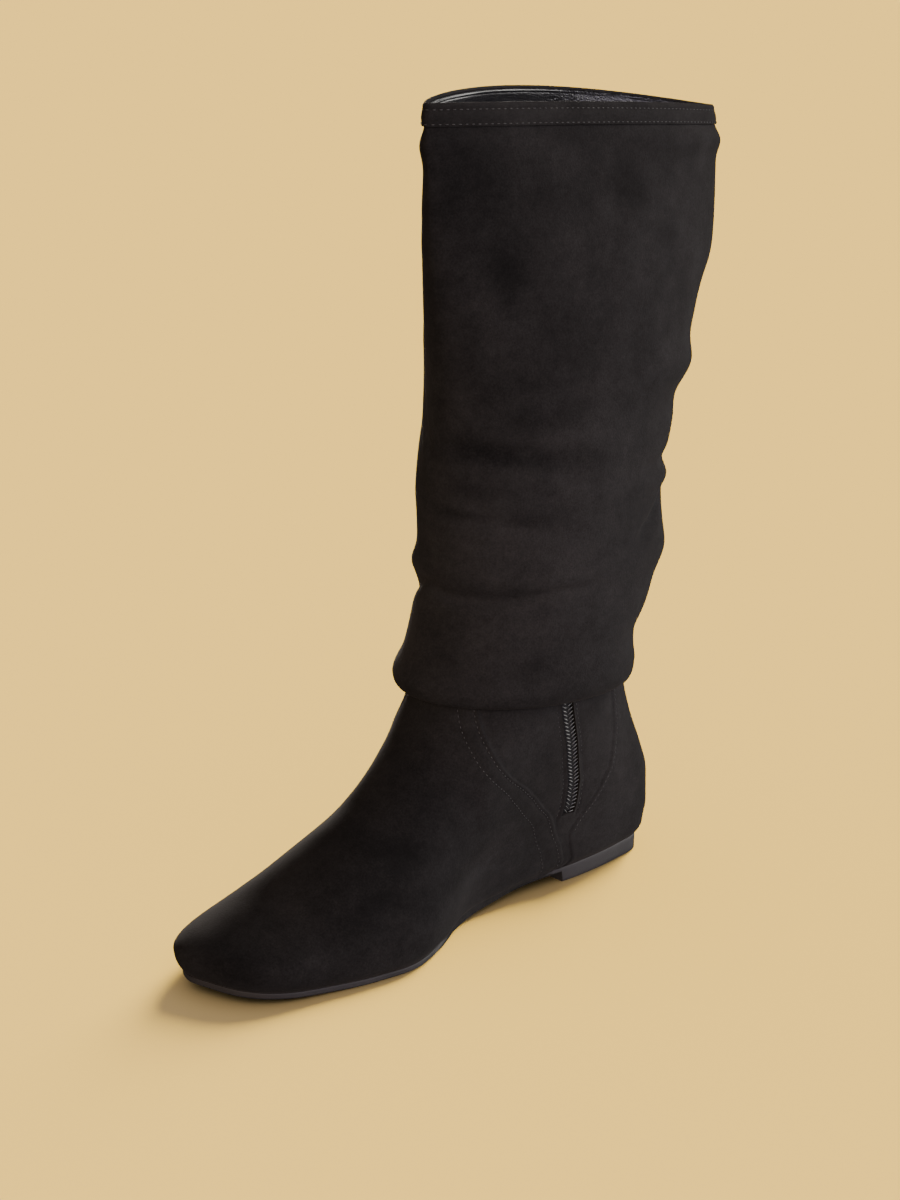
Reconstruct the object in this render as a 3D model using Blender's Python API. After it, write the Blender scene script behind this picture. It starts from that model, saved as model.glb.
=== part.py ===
"""Slouch boot for the right foot: low moulded sole, soft square toe, short zip on the inner ankle,
and a shaft that droops over the ankle in a rolled fold below a stitched top band."""

from collections import namedtuple

import bmesh
import bpy
import numpy as np

# Lengths are metres. A station is the distance forward from the back of the heel, a lift is the
# height above the top of the sole, and a girth is the distance round the upper from the middle of
# the heel. The toe points along -Y and the inner side of the foot is +X.
COLLECTION = "slouch_boot"

HEEL_Y = 0.1062
SOLE_LENGTH = 0.2580
HEEL_BREAST = 0.0612
BREAST_SLOPE = 0.0008
WAIST_RISE = 0.0052
BALL_BACK = 0.1480
TOE_BREAK = 0.1900
TOE_SPRING = 0.0050
SOLE_BEVEL = 0.0007
SOLE_STATIONS = 46
SOLE_TIP_TURN = 0.045
STATION_CLEAR = 0.0020

UPPER_WALL = 0.0018
UPPER_WIDEST = 0.0090
UPPER_TOP = 0.1200
INNER_FULLNESS = 2.2
OUTER_FULLNESS = 1.75
ANKLE_HALF = 0.0355
ANKLE_LIFT = 0.0850
ANKLE_ROUND = 0.0480
OVAL_START = 0.0500
OVAL_FULL = 0.0950
RIDGE_X = 0.0010
RIDGE_BACK = 0.1500
RIDGE_FRONT = 0.2400
PANEL_STEP = 0.0007
PANEL_EDGE = 0.0004
UPPER_LIFTS = (0.0, 0.003, 0.0065, 0.0105, 0.0145, 0.019, 0.0245, 0.031, 0.037, 0.0435,
               0.0505, 0.058, 0.066, 0.0745, 0.083, 0.0915, 0.1, UPPER_TOP)

SHAFT_WALL = 0.0016
COLLAR_HEIGHT = 0.3675
ROLL_HEIGHT = 0.1092
ROLL_DEPTH = 0.0068
SEAM_RISE = 0.0100
RETURN_EASE = 0.0003
RETURN_FLARE = 0.0012
INNER_ARCH = 0.35
BAND_DEPTH = 0.0090
BAND_THICKNESS = 0.0010

INSOLE_THICKNESS = 0.0035
INSOLE_INSET = 0.0037
INSOLE_STATIONS = 26
INSOLE_TIP_TURN = 0.10

ZIP_SLOT = 0.0078
SLOT_FOOT = 0.3
ZIP_BOTTOM = 0.0310
ZIP_TAPE_WIDTH = 0.0160
ZIP_TAPE_THICKNESS = 0.0008
ZIP_TAPE_FOOT = 0.0050
ZIP_ROWS = 13
ZIP_COIL_WIDTH = 0.0064
ZIP_COIL_RECESS = 0.0003

GAP = 0.0003
AROUND = 52
PLAN_POINTS = 240

# Cells of the upper between its seam lines, from mid heel over the inner side to the toe and home.
PANEL_CELLS = (8, 1, 3, 1, 5, 1, 16, 16, 1, 7, 1, 8)
RAISED = (True, True, False, False, False, False, True, True, True, False, False, True, True)
SLOT_PANEL = 3
VAMP_PANEL = 6
TOE_CROWD = 1.45

Edge = namedtuple("Edge", "station inner outer")
SOLE_EDGE = (
    Edge(0.0000, 0.0000, 0.0000),
    Edge(0.0050, 0.0195, -0.0160),
    Edge(0.0240, 0.0247, -0.0256),
    Edge(0.0520, 0.0253, -0.0285),
    Edge(0.0950, 0.0208, -0.0305),
    Edge(0.1300, 0.0242, -0.0345),
    Edge(0.1500, 0.0341, -0.0377),
    Edge(0.1700, 0.0408, -0.0406),
    Edge(0.1920, 0.0384, -0.0421),
    Edge(0.2150, 0.0321, -0.0405),
    Edge(0.2340, 0.0256, -0.0353),
    Edge(0.2440, 0.0189, -0.0304),
    Edge(0.2505, 0.0107, -0.0256),
    Edge(0.2555, -0.0020, -0.0200),
    Edge(0.2580, -0.0120, -0.0120),
)

Top = namedtuple("Top", "station height")
SOLE_TOP = (
    Top(0.000, 0.0084),
    Top(0.030, 0.0081),
    Top(0.062, 0.0077),
    Top(0.100, 0.0051),
    Top(0.148, 0.0032),
    Top(0.190, 0.0030),
    Top(0.225, 0.0043),
    Top(0.258, 0.0077),
)

# Back and front of each slice of the foot, and how far the slice swells beyond the edge of the sole.
Slice = namedtuple("Slice", "lift back front swell")
FOOT_SLICES = (
    Slice(0.0000, 0.0000, 0.2580, -0.0003),
    Slice(0.0036, -0.0004, 0.2584, 0.0021),
    Slice(0.0090, -0.0010, 0.2580, 0.0031),
    Slice(0.0120, -0.0015, 0.2568, 0.0033),
    Slice(0.0154, -0.0021, 0.2512, 0.0035),
    Slice(0.0215, -0.0031, 0.2362, 0.0030),
    Slice(0.0285, -0.0038, 0.2196, 0.0026),
    Slice(0.0355, -0.0035, 0.2076, 0.0027),
    Slice(0.0435, -0.0016, 0.1952, 0.0023),
    Slice(0.0514, 0.0008, 0.1826, 0.0019),
    Slice(0.0592, 0.0036, 0.1692, 0.0015),
    Slice(0.0690, 0.0071, 0.1570, 0.0013),
    Slice(0.0796, 0.0105, 0.1432, 0.0011),
    Slice(0.0922, 0.0135, 0.1322, 0.0011),
    Slice(0.1040, 0.0150, 0.1272, 0.0011),
    Slice(0.1200, 0.0155, 0.1240, 0.0011),
)

# Girth of the counter edge, of the middle of the zip and of the vamp edge at each lift.
Seam = namedtuple("Seam", "lift counter zipper vamp")
SEAMS = (
    Seam(0.000, 0.0770, 0.0800, 0.0830),
    Seam(0.006, 0.0800, 0.0828, 0.0857),
    Seam(0.019, 0.0845, 0.0885, 0.0920),
    Seam(0.032, 0.0735, 0.0871, 0.0968),
    Seam(0.041, 0.0662, 0.0856, 0.1034),
    Seam(0.050, 0.0591, 0.0840, 0.1087),
    Seam(0.058, 0.0535, 0.0815, 0.1122),
    Seam(0.066, 0.0489, 0.0791, 0.1174),
    Seam(0.075, 0.0450, 0.0770, 0.1208),
    Seam(0.085, 0.0425, 0.0755, 0.1213),
    Seam(0.120, 0.0410, 0.0730, 0.1175),
)

# Plan of the shaft at each height: the line between its front and back corners, the swell either
# side, how far the front rises and the sides arch above the level of the section, and how far its
# front and back corners are pinched from round to flat.
Section = namedtuple("Section", "height station half_length chord inner outer rise arch pinch")
SHAFT_SECTIONS = (
    Section(0.0980, 0.0738, 0.0656, 0.0000, 0.0450, 0.0450, 0.0045, 0.0000, 0.00),
    Section(0.1170, 0.0686, 0.0626, 0.0000, 0.0450, 0.0450, 0.0045, 0.0000, 0.00),
    Section(0.1410, 0.0598, 0.0637, 0.0000, 0.0450, 0.0460, 0.0045, 0.0000, 0.00),
    Section(0.1650, 0.0552, 0.0670, 0.0010, 0.0440, 0.0470, 0.0045, 0.0000, 0.00),
    Section(0.1950, 0.0559, 0.0684, 0.0020, 0.0425, 0.0475, 0.0045, 0.0000, 0.04),
    Section(0.2350, 0.0501, 0.0727, 0.0040, 0.0400, 0.0470, 0.0045, 0.0000, 0.10),
    Section(0.2740, 0.0450, 0.0819, 0.0060, 0.0330, 0.0460, 0.0046, 0.0005, 0.25),
    Section(0.3100, 0.0421, 0.0907, 0.0080, 0.0260, 0.0430, 0.0050, 0.0012, 0.42),
    Section(0.3430, 0.0447, 0.0919, 0.0108, 0.0185, 0.0375, 0.0058, 0.0035, 0.55),
    Section(0.3675, 0.0485, 0.0900, 0.0129, 0.0127, 0.0313, 0.0067, 0.0058, 0.65),
)

# Soft ridges and troughs of the slouched shaft. Angles in degrees run from the back over the inner
# side, reach is how far round the fold fades, and spread how far up and down.
Fold = namedtuple("Fold", "angle height slant reach spread depth")
SHAFT_FOLDS = (
    Fold(155.0, 0.1550, 0.0000, 50.0, 0.0050, -0.0024),
    Fold(212.0, 0.1440, -0.0005, 24.0, 0.0045, -0.0022),
    Fold(222.0, 0.1540, -0.0004, 30.0, 0.0070, 0.0026),
    Fold(215.0, 0.1110, 0.0000, 40.0, 0.0062, 0.0024),
    Fold(43.0, 0.1105, 0.0000, 40.0, 0.0055, 0.0020),
    Fold(43.0, 0.1270, 0.0000, 40.0, 0.0065, -0.0014),
    Fold(43.0, 0.1640, 0.0000, 40.0, 0.0090, 0.0022),
    Fold(57.0, 0.1815, -0.0005, 18.0, 0.0045, -0.0013),
    Fold(152.0, 0.1885, 0.0000, 30.0, 0.0055, -0.0012),
    Fold(43.0, 0.1985, 0.0000, 30.0, 0.0045, 0.0020),
    Fold(40.0, 0.2060, 0.0000, 30.0, 0.0045, -0.0018),
    Fold(148.0, 0.2195, 0.0001, 40.0, 0.0065, -0.0016),
    Fold(43.0, 0.2340, 0.0000, 35.0, 0.0065, -0.0016),
    Fold(43.0, 0.2500, 0.0000, 35.0, 0.0080, 0.0036),
    Fold(35.0, 0.2990, 0.0000, 40.0, 0.0120, 0.0014),
    Fold(20.0, 0.3510, 0.0000, 45.0, 0.0060, 0.0026),
    Fold(200.0, 0.3500, 0.0000, 40.0, 0.0060, 0.0018),
    Fold(318.0, 0.1600, 0.0001, 50.0, 0.0060, -0.0022),
    Fold(290.0, 0.1900, 0.0000, 40.0, 0.0065, -0.0018),
    Fold(320.0, 0.2180, 0.0001, 45.0, 0.0070, -0.0018),
)
SHAFT_HEIGHTS = (ROLL_HEIGHT, 0.118, 0.127, 0.137, 0.143, 0.150, 0.158, 0.167, 0.178, 0.188,
                 0.198, 0.207, 0.220, 0.236, 0.254, 0.285, 0.325, 0.3585, COLLAR_HEIGHT)


def column(rows, name):
    return np.array([getattr(row, name) for row in rows])


def smooth(at, stations, values):
    """Cubic through the rows with tangents from the neighbouring rows, held level beyond both ends."""
    slope = np.gradient(values, stations)
    at = np.clip(at, stations[0], stations[-1])
    row = np.clip(np.searchsorted(stations, at) - 1, 0, len(stations) - 2)
    step = stations[row + 1] - stations[row]
    t = (at - stations[row]) / step
    start = (1 + 2 * t) * (1 - t) ** 2 * values[row] + t * (1 - t) ** 2 * step * slope[row]
    finish = t ** 2 * (3 - 2 * t) * values[row + 1] + t ** 2 * (t - 1) * step * slope[row + 1]
    return start + finish


def table(rows, name, at):
    return smooth(at, column(rows, rows[0]._fields[0]), column(rows, name))


def ease(t):
    t = np.clip(t, 0, 1)
    return t * t * (3 - 2 * t)


def end_turn(station):
    """Angle that runs evenly round both ends of the sole, so that its heel and toe come out round."""
    return np.arccos(1 - 2 * np.clip(station / SOLE_LENGTH, 0, 1))


def sole_edge(station, side):
    return smooth(end_turn(station), end_turn(column(SOLE_EDGE, "station")), column(SOLE_EDGE, side))


def sole_top(station):
    return table(SOLE_TOP, "height", station)


def sole_floor(station):
    """Height of the tread: flat heel, arched waist, flat ball and a sprung toe."""
    waist = np.clip((station - HEEL_BREAST) / (BALL_BACK - HEEL_BREAST), 0, 1)
    arch = WAIST_RISE * (0.5 + 0.5 * np.cos(np.pi * waist))
    cut = np.clip((station - HEEL_BREAST) / BREAST_SLOPE, 0, 1)
    toe = np.clip((station - TOE_BREAK) / (SOLE_LENGTH - TOE_BREAK), 0, 1)
    return arch * cut + TOE_SPRING * toe ** 2


def instep_lift(station):
    """Lift of the foot's ridge above the sole at a station, running on up the front of the ankle."""
    lifts = np.linspace(UPPER_TOP, UPPER_WIDEST, 400)
    fronts = table(FOOT_SLICES, "front", lifts)
    ankle = UPPER_TOP + 8 * np.maximum(fronts[0] - station, 0)
    return np.where(station < fronts[0], ankle, np.interp(station, fronts, lifts))


def foot_slice(lift, count):
    """Closed plan of the foot at one lift, from the back over the inner side to the toe and home."""
    back = table(FOOT_SLICES, "back", lift)
    front = SOLE_LENGTH if lift <= UPPER_WIDEST else table(FOOT_SLICES, "front", lift)
    swing = np.linspace(0, np.pi, count)
    station = back + (front - back) * (1 - np.cos(swing)) / 2
    on_sole = station - back * (1 - station / SOLE_LENGTH)
    ankle = ease(lift / ANKLE_LIFT)
    heel = np.sqrt(1 - np.clip(1 - on_sole / ANKLE_ROUND, 0, 1) ** 2)
    inner = sole_edge(on_sole, "inner") * (1 - ankle) + ANKLE_HALF * heel * ankle
    outer = sole_edge(on_sole, "outer") * (1 - ankle) - ANKLE_HALF * heel * ankle
    rise = np.maximum(lift - UPPER_WIDEST, 0)
    share = np.clip(rise / np.maximum(instep_lift(station) - UPPER_WIDEST, 1e-4), 0, 1)
    if rise > 0:
        share[-1] = 1
    centre = (inner + outer) / 2
    toe = ease((station - RIDGE_BACK) / (RIDGE_FRONT - RIDGE_BACK))
    middle = centre * (1 - share) + (centre * toe + RIDGE_X * (1 - toe)) * share
    nose = np.sqrt(1 - np.clip(1 - (front - station) / ANKLE_ROUND, 0, 1) ** 2)
    oval = ease((lift - OVAL_START) / (OVAL_FULL - OVAL_START))
    inner_cut = (1 - share ** INNER_FULLNESS) ** (1 / INNER_FULLNESS) * (1 - oval) + nose * oval
    outer_cut = (1 - share ** OUTER_FULLNESS) ** (1 / OUTER_FULLNESS) * (1 - oval) + nose * oval
    inner_half = (inner - centre) * inner_cut
    outer_half = (centre - outer) * outer_cut
    inner_half[1:-1] = np.maximum(inner_half[1:-1], 1e-5)
    x = np.concatenate((middle + inner_half, (middle - outer_half)[-2:0:-1]))
    station = np.concatenate((station, station[-2:0:-1]))
    return np.stack((x, station), axis=1)


def swelled(loop, amount):
    """Closed plan moved outwards square to itself."""
    along = np.roll(loop, -1, axis=0) - np.roll(loop, 1, axis=0)
    out = np.stack((along[:, 1], -along[:, 0]), axis=1)
    return loop + amount * out / np.linalg.norm(out, axis=1, keepdims=True)


def by_girth(loop, count):
    """Closed plan with its points evenly spaced from heel to toe on one side and back on the other."""
    half = len(loop) // 2
    halves = (loop[:half + 1], np.vstack((loop[half:], loop[:1])))
    points = []
    for part in halves:
        run = np.concatenate(([0], np.cumsum(np.linalg.norm(np.diff(part, axis=0), axis=1))))
        at = np.linspace(0, run[-1], count + 1)[:-1]
        x = np.interp(at, run, part[:, 0])
        station = np.interp(at, run, part[:, 1])
        points.append(np.stack((x, station), axis=1))
    return np.vstack(points)


def normals(grid):
    """Unit normals of a grid that closes on itself round each row."""
    around = np.roll(grid, -1, axis=1) - np.roll(grid, 1, axis=1)
    upward = np.gradient(grid, axis=0)
    square = np.cross(upward, around)
    return square / np.linalg.norm(square, axis=2, keepdims=True)


class Skin:
    """Outside of the foot as a fine grid over lift and girth, read back at any place and depth."""

    LIFTS = np.linspace(0, UPPER_TOP, 93)
    HALF = 120

    def __init__(self):
        rows = []
        self.girth = []
        for lift in self.LIFTS:
            loop = swelled(foot_slice(lift, PLAN_POINTS), table(FOOT_SLICES, "swell", lift))
            ring = by_girth(loop, self.HALF)
            run = np.linalg.norm(np.diff(ring[:self.HALF + 1], axis=0), axis=1).sum()
            self.girth.append(run)
            z = sole_top(ring[:, 1]) + GAP + lift
            rows.append(np.stack((ring[:, 0], HEEL_Y - ring[:, 1], z), axis=1))
        self.points = np.array(rows)
        self.out = normals(self.points)

    def at(self, lift, around, depth=0.0):
        """Points at a lift and a turn (0 heel, 1 toe, 2 heel again), moved outwards by a depth."""
        row = np.clip(lift / UPPER_TOP, 0, 1) * (len(self.LIFTS) - 1)
        col = np.mod(around, 2) * self.HALF
        low = np.minimum(row.astype(int), len(self.LIFTS) - 2)
        left = col.astype(int)
        v = (row - low)[..., None]
        u = (col - left)[..., None]
        left = left % (2 * self.HALF)
        right = (left + 1) % (2 * self.HALF)
        mixed = []
        for grid in (self.points, self.out):
            below = grid[low, left] * (1 - u) + grid[low, right] * u
            above = grid[low + 1, left] * (1 - u) + grid[low + 1, right] * u
            mixed.append(below * (1 - v) + above * v)
        return mixed[0] + np.asarray(depth)[..., None] * mixed[1]

    def turn(self, lift, girth):
        """Turn round the inner side at a girth from the middle of the heel."""
        return girth / np.interp(lift, self.LIFTS, self.girth)


def shaft_ring(height, angle, depth=0.0):
    """Points of the shaft's outside at a height and angle, folds included, moved outwards by a depth."""
    sine = np.sin(np.radians(angle))
    cosine = np.cos(np.radians(angle))
    half_length = table(SHAFT_SECTIONS, "half_length", height)
    inner = table(SHAFT_SECTIONS, "inner", height)
    outer = table(SHAFT_SECTIONS, "outer", height)
    side = np.where(sine > 0, inner, outer)
    pinch = table(SHAFT_SECTIONS, "pinch", height)
    x = table(SHAFT_SECTIONS, "chord", height) + side * sine * (1 - pinch + pinch * np.abs(sine))
    station = table(SHAFT_SECTIONS, "station", height) - half_length * cosine
    out = np.stack((sine / side, cosine / half_length), axis=-1)
    out = out / np.linalg.norm(out, axis=-1, keepdims=True)
    move = depth
    for fold in SHAFT_FOLDS:
        away = np.mod(angle - fold.angle + 180, 360) - 180
        level = height - fold.height - fold.slant * away
        move = move + fold.depth * np.exp(-(away / fold.reach) ** 2 - (level / fold.spread) ** 2)
    z = (height - table(SHAFT_SECTIONS, "rise", height) * cosine
         + table(SHAFT_SECTIONS, "arch", height) * np.where(sine > 0, INNER_ARCH, 1) * sine ** 2)
    return np.stack((x + move * out[..., 0], HEEL_Y - station + move * out[..., 1], z), axis=-1)


def material(name, colour, roughness):
    made = bpy.data.materials.new(name)
    made.use_nodes = True
    shader = made.node_tree.nodes["Principled BSDF"]
    shader.inputs["Base Color"].default_value = (*colour, 1.0)
    shader.inputs["Roughness"].default_value = roughness
    return made


def add_object(name, vertices, faces, surface):
    mesh = bpy.data.meshes.new(name)
    mesh.from_pydata([tuple(map(float, point)) for point in vertices], [], faces)
    body = bmesh.new()
    body.from_mesh(mesh)
    bmesh.ops.remove_doubles(body, verts=body.verts, dist=1e-6)
    bmesh.ops.recalc_face_normals(body, faces=body.faces)
    body.to_mesh(mesh)
    body.free()
    mesh.materials.append(surface)
    made = bpy.data.objects.new(name, mesh)
    bpy.data.collections[COLLECTION].objects.link(made)
    return made


def sheet(name, outside, inside, surface, closed, kept=None):
    """Solid between two matching grids; cells that are not kept are left out and their sides walled."""
    rows, cols = outside.shape[:2]
    wraps = cols if closed else cols - 1
    if kept is None:
        kept = np.ones((rows - 1, wraps), dtype=bool)
    vertices = np.concatenate((outside.reshape(-1, 3), inside.reshape(-1, 3)))

    def corner(row, col, face):
        return face * rows * cols + row * cols + col % cols

    def present(row, col):
        if closed:
            col %= cols
        return 0 <= row < rows - 1 and 0 <= col < wraps and kept[row, col]

    faces = []
    for row in range(rows - 1):
        for col in range(wraps):
            if not kept[row, col]:
                continue
            ring = ((row, col), (row, col + 1), (row + 1, col + 1), (row + 1, col))
            faces.append([corner(r, c, 0) for r, c in ring])
            faces.append([corner(r, c, 1) for r, c in reversed(ring)])
            beside = ((row - 1, col), (row, col + 1), (row + 1, col), (row, col - 1))
            for step, place in enumerate(beside):
                if not present(*place):
                    one, two = ring[step], ring[(step + 1) % 4]
                    faces.append([corner(*two, 0), corner(*one, 0), corner(*one, 1), corner(*two, 1)])
    return add_object(name, vertices, faces, surface)


def plank(name, stations, sections, surface):
    """Solid lofted through cross-sections, one per station, and closed at both ends."""
    count = len(sections[0])
    vertices = []
    for station, section in zip(stations, sections):
        vertices.extend((x, HEEL_Y - station, z) for x, z in section)
    faces = [list(range(count))]
    for row in range(len(stations) - 1):
        for col in range(count):
            here = row * count
            ahead = (col + 1) % count
            faces.append([here + col, here + ahead, here + count + ahead, here + count + col])
    faces.append(list(range((len(stations) - 1) * count, len(stations) * count)))
    return add_object(name, vertices, faces, surface)


def build_outsole(surface):
    swing = np.linspace(SOLE_TIP_TURN, np.pi - SOLE_TIP_TURN, SOLE_STATIONS)
    stations = SOLE_LENGTH * (1 - np.cos(swing)) / 2
    exact = (HEEL_BREAST, HEEL_BREAST + BREAST_SLOPE, BALL_BACK, TOE_BREAK)
    near = np.min(np.abs(stations[:, None] - np.array(exact)), axis=1)
    stations = stations[near > STATION_CLEAR]
    stations = np.sort(np.concatenate((stations, exact)))
    sections = []
    for station in stations:
        inner = float(sole_edge(station, "inner"))
        outer = float(sole_edge(station, "outer"))
        floor = float(sole_floor(station))
        top = float(sole_top(station))
        sections.append((
            (outer + SOLE_BEVEL, floor),
            (inner - SOLE_BEVEL, floor),
            (inner, floor + SOLE_BEVEL),
            (inner, top),
            (outer, top),
            (outer, floor + SOLE_BEVEL),
        ))
    return plank("outsole", stations, sections, surface)


def build_insole(surface):
    edge = SOLE_LENGTH * (1 - np.cos(np.linspace(0, np.pi, PLAN_POINTS))) / 2
    x = np.concatenate((sole_edge(edge, "inner"), sole_edge(edge, "outer")[-2:0:-1]))
    along = np.concatenate((edge, edge[-2:0:-1]))
    loop = swelled(np.stack((x, along), axis=1), -INSOLE_INSET)
    sides = (loop[:PLAN_POINTS], np.vstack((loop[PLAN_POINTS - 1:], loop[:1]))[::-1])
    reach = SOLE_LENGTH - 2 * INSOLE_INSET
    swing = np.linspace(INSOLE_TIP_TURN, np.pi - INSOLE_TIP_TURN, INSOLE_STATIONS)
    stations = INSOLE_INSET + reach * (1 - np.cos(swing)) / 2
    inner, outer = (np.interp(stations, side[:, 1], side[:, 0]) for side in sides)
    bottom = sole_top(stations) + GAP
    sections = [((o, b), (i, b), (i, b + INSOLE_THICKNESS), (o, b + INSOLE_THICKNESS))
                for i, o, b in zip(inner, outer, bottom)]
    return plank("insole", stations, sections, surface)


def seam_turns(skin, lifts):
    """Turns of the heel, counter, zip, vamp and toe lines at each lift, with both sides of a step."""
    counter = skin.turn(lifts, table(SEAMS, "counter", lifts))
    zipper = table(SEAMS, "zipper", lifts)
    vamp = skin.turn(lifts, table(SEAMS, "vamp", lifts))
    edge = skin.turn(lifts, PANEL_EDGE)
    half_slot = ZIP_SLOT / 2 * (SLOT_FOOT + (1 - SLOT_FOOT) * ease(lifts / ZIP_BOTTOM))
    rear = skin.turn(lifts, zipper - half_slot)
    fore = skin.turn(lifts, zipper + half_slot)
    heel = np.zeros_like(lifts)
    inner = (heel, counter - edge, counter + edge, rear, fore, vamp - edge, vamp + edge, heel + 1)
    outer = (2 - vamp - edge, 2 - vamp + edge, 2 - counter - edge, 2 - counter + edge, heel + 2)
    return inner + outer


def build_upper(skin, surface):
    lifts = np.array(UPPER_LIFTS)
    lines = seam_turns(skin, lifts)
    turns = []
    raised = []
    slot = []
    for panel, cells in enumerate(PANEL_CELLS):
        for cell in range(cells):
            share = cell / cells
            if panel == VAMP_PANEL:
                share = 1 - (1 - share) ** TOE_CROWD
            elif panel == VAMP_PANEL + 1:
                share = share ** TOE_CROWD
            turns.append(lines[panel] * (1 - share) + lines[panel + 1] * share)
            raised.append(RAISED[panel] if cell == 0 else RAISED[panel] and RAISED[panel + 1])
            slot.append(panel == SLOT_PANEL)
    turns = np.array(turns).T
    grid_lifts = np.repeat(lifts[:, None], turns.shape[1], axis=1)
    steps = PANEL_STEP * np.array(raised)[None, :] * np.ones_like(turns)
    outside = skin.at(grid_lifts, turns, steps)
    inside = skin.at(grid_lifts, turns, -UPPER_WALL * np.ones_like(turns))
    for face in (outside, inside):
        face[0, :, 2] = sole_top(HEEL_Y - face[0, :, 1]) + GAP
    kept = np.ones((len(lifts) - 1, turns.shape[1]), dtype=bool)
    kept[np.ix_(lifts[:-1] >= ZIP_BOTTOM - 1e-6, slot)] = False
    return sheet("upper", outside, inside, surface, True, kept)


def zip_grid(skin, lifts, width, cells, depth):
    middle = table(SEAMS, "zipper", lifts)
    across = np.linspace(-0.5, 0.5, cells + 1)
    turns = skin.turn(lifts[:, None], middle[:, None] + width * across[None, :])
    return skin.at(np.repeat(lifts[:, None], cells + 1, axis=1), turns, depth * np.ones_like(turns))


def build_zip_tape(skin, surface):
    """Tape behind the slot, reaching past its foot and up under the shaft."""
    lifts = np.linspace(ZIP_BOTTOM - ZIP_TAPE_FOOT, UPPER_TOP, ZIP_ROWS)
    face = -UPPER_WALL - GAP
    outside = zip_grid(skin, lifts, ZIP_TAPE_WIDTH, 4, face)
    inside = zip_grid(skin, lifts, ZIP_TAPE_WIDTH, 4, face - ZIP_TAPE_THICKNESS)
    return sheet("zip_tape", outside, inside, surface, False)


def build_zip_coil(skin, surface):
    """Closed coil in the slot, standing on the tape."""
    lifts = np.linspace(ZIP_BOTTOM + GAP, UPPER_TOP, ZIP_ROWS)
    outside = zip_grid(skin, lifts, ZIP_COIL_WIDTH, 2, -ZIP_COIL_RECESS)
    inside = zip_grid(skin, lifts, ZIP_COIL_WIDTH, 2, -UPPER_WALL)
    return sheet("zip_coil", outside, inside, surface, False)


def build_shaft(skin, surface):
    """Shaft from its seam on the upper, down inside the roll, round it and up to the collar."""
    angle = np.arange(AROUND) * 360 / AROUND
    outside = []
    inside = []
    roll_out = shaft_ring(ROLL_HEIGHT, angle)
    lift = roll_out[:, 2] - sole_top(HEEL_Y - roll_out[:, 1]) - GAP
    for share in (1.0, 0.5, 0.0):
        clear = PANEL_STEP + GAP + RETURN_EASE + RETURN_FLARE * (1 - share)
        rise = lift + SEAM_RISE * share
        outside.append(skin.at(rise, angle / 180, clear * np.ones(AROUND)))
        inside.append(skin.at(rise, angle / 180, (clear + SHAFT_WALL) * np.ones(AROUND)))
    roll_in = outside[-1]
    middle = (roll_out + roll_in) / 2
    reach = (roll_out - roll_in) / 2
    slim = reach * (1 - SHAFT_WALL / np.linalg.norm(reach[:, :2], axis=1, keepdims=True))
    down = np.array((0, 0, 1.0))
    for bend in np.radians((135, 90, 45)):
        outside.append(middle + reach * np.cos(bend) - down * ROLL_DEPTH * np.sin(bend))
        inside.append(middle + slim * np.cos(bend) - down * (ROLL_DEPTH - SHAFT_WALL) * np.sin(bend))
    for height in SHAFT_HEIGHTS:
        outside.append(shaft_ring(height, angle))
        inside.append(shaft_ring(height, angle, -SHAFT_WALL))
    return sheet("shaft", np.array(outside), np.array(inside), surface, True)


def build_band(surface):
    angle = np.arange(AROUND) * 360 / AROUND
    heights = (COLLAR_HEIGHT - BAND_DEPTH, COLLAR_HEIGHT)
    outside = np.array([shaft_ring(height, angle, GAP + BAND_THICKNESS) for height in heights])
    inside = np.array([shaft_ring(height, angle, GAP) for height in heights])
    return sheet("collar_band", outside, inside, surface, True)


def build():
    for thing in list(bpy.data.objects):
        bpy.data.objects.remove(thing, do_unlink=True)
    bpy.context.scene.collection.children.link(bpy.data.collections.new(COLLECTION))
    suede = material("suede", (0.016, 0.013, 0.012), 0.95)
    shaft_suede = material("shaft_suede", (0.016, 0.013, 0.012), 0.95)
    band_suede = material("band_suede", (0.014, 0.012, 0.011), 0.92)
    rubber = material("sole_rubber", (0.030, 0.030, 0.034), 0.6)
    lining = material("insole_lining", (0.012, 0.012, 0.013), 0.45)
    tape = material("zip_tape_cloth", (0.008, 0.008, 0.009), 0.85)
    coil = material("zip_nylon", (0.010, 0.010, 0.011), 0.3)
    skin = Skin()
    build_outsole(rubber)
    build_insole(lining)
    build_upper(skin, suede)
    build_zip_tape(skin, tape)
    build_zip_coil(skin, coil)
    build_shaft(skin, shaft_suede)
    build_band(band_suede)


build()
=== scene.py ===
"""Picture model of a right slouch boot in brushed suede cloth, laid over its solids.

Lengths are metres. A station is the distance forward from the back of the heel, a lift is the height
above the top of the sole, and a girth is the distance round the foot from the middle of the heel. A
turn runs from 0 at the heel over the inner side to 1 at the toe and on to 2, and a shaft angle runs
in degrees from the back over the inner side. The toe points along -Y and the inner side is +X."""

import functools
import math
from collections import namedtuple

import bmesh
import bpy
import numpy as np
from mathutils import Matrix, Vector, noise


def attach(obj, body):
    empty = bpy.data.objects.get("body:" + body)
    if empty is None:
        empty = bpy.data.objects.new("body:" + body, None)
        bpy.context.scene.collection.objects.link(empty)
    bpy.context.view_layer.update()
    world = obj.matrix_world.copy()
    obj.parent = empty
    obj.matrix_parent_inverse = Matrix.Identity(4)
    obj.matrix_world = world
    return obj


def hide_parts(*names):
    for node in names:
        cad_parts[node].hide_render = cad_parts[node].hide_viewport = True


bl_info = {
    "name": "Slouch boot",
    "version": (1, 0, 0),
    "blender": (4, 5, 0),
    "location": "View3D > Sidebar > Boot",
    "description": "Dresses the solids of a slouch boot in suede, lining, zip and sewing",
    "category": "Object",
}

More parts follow.
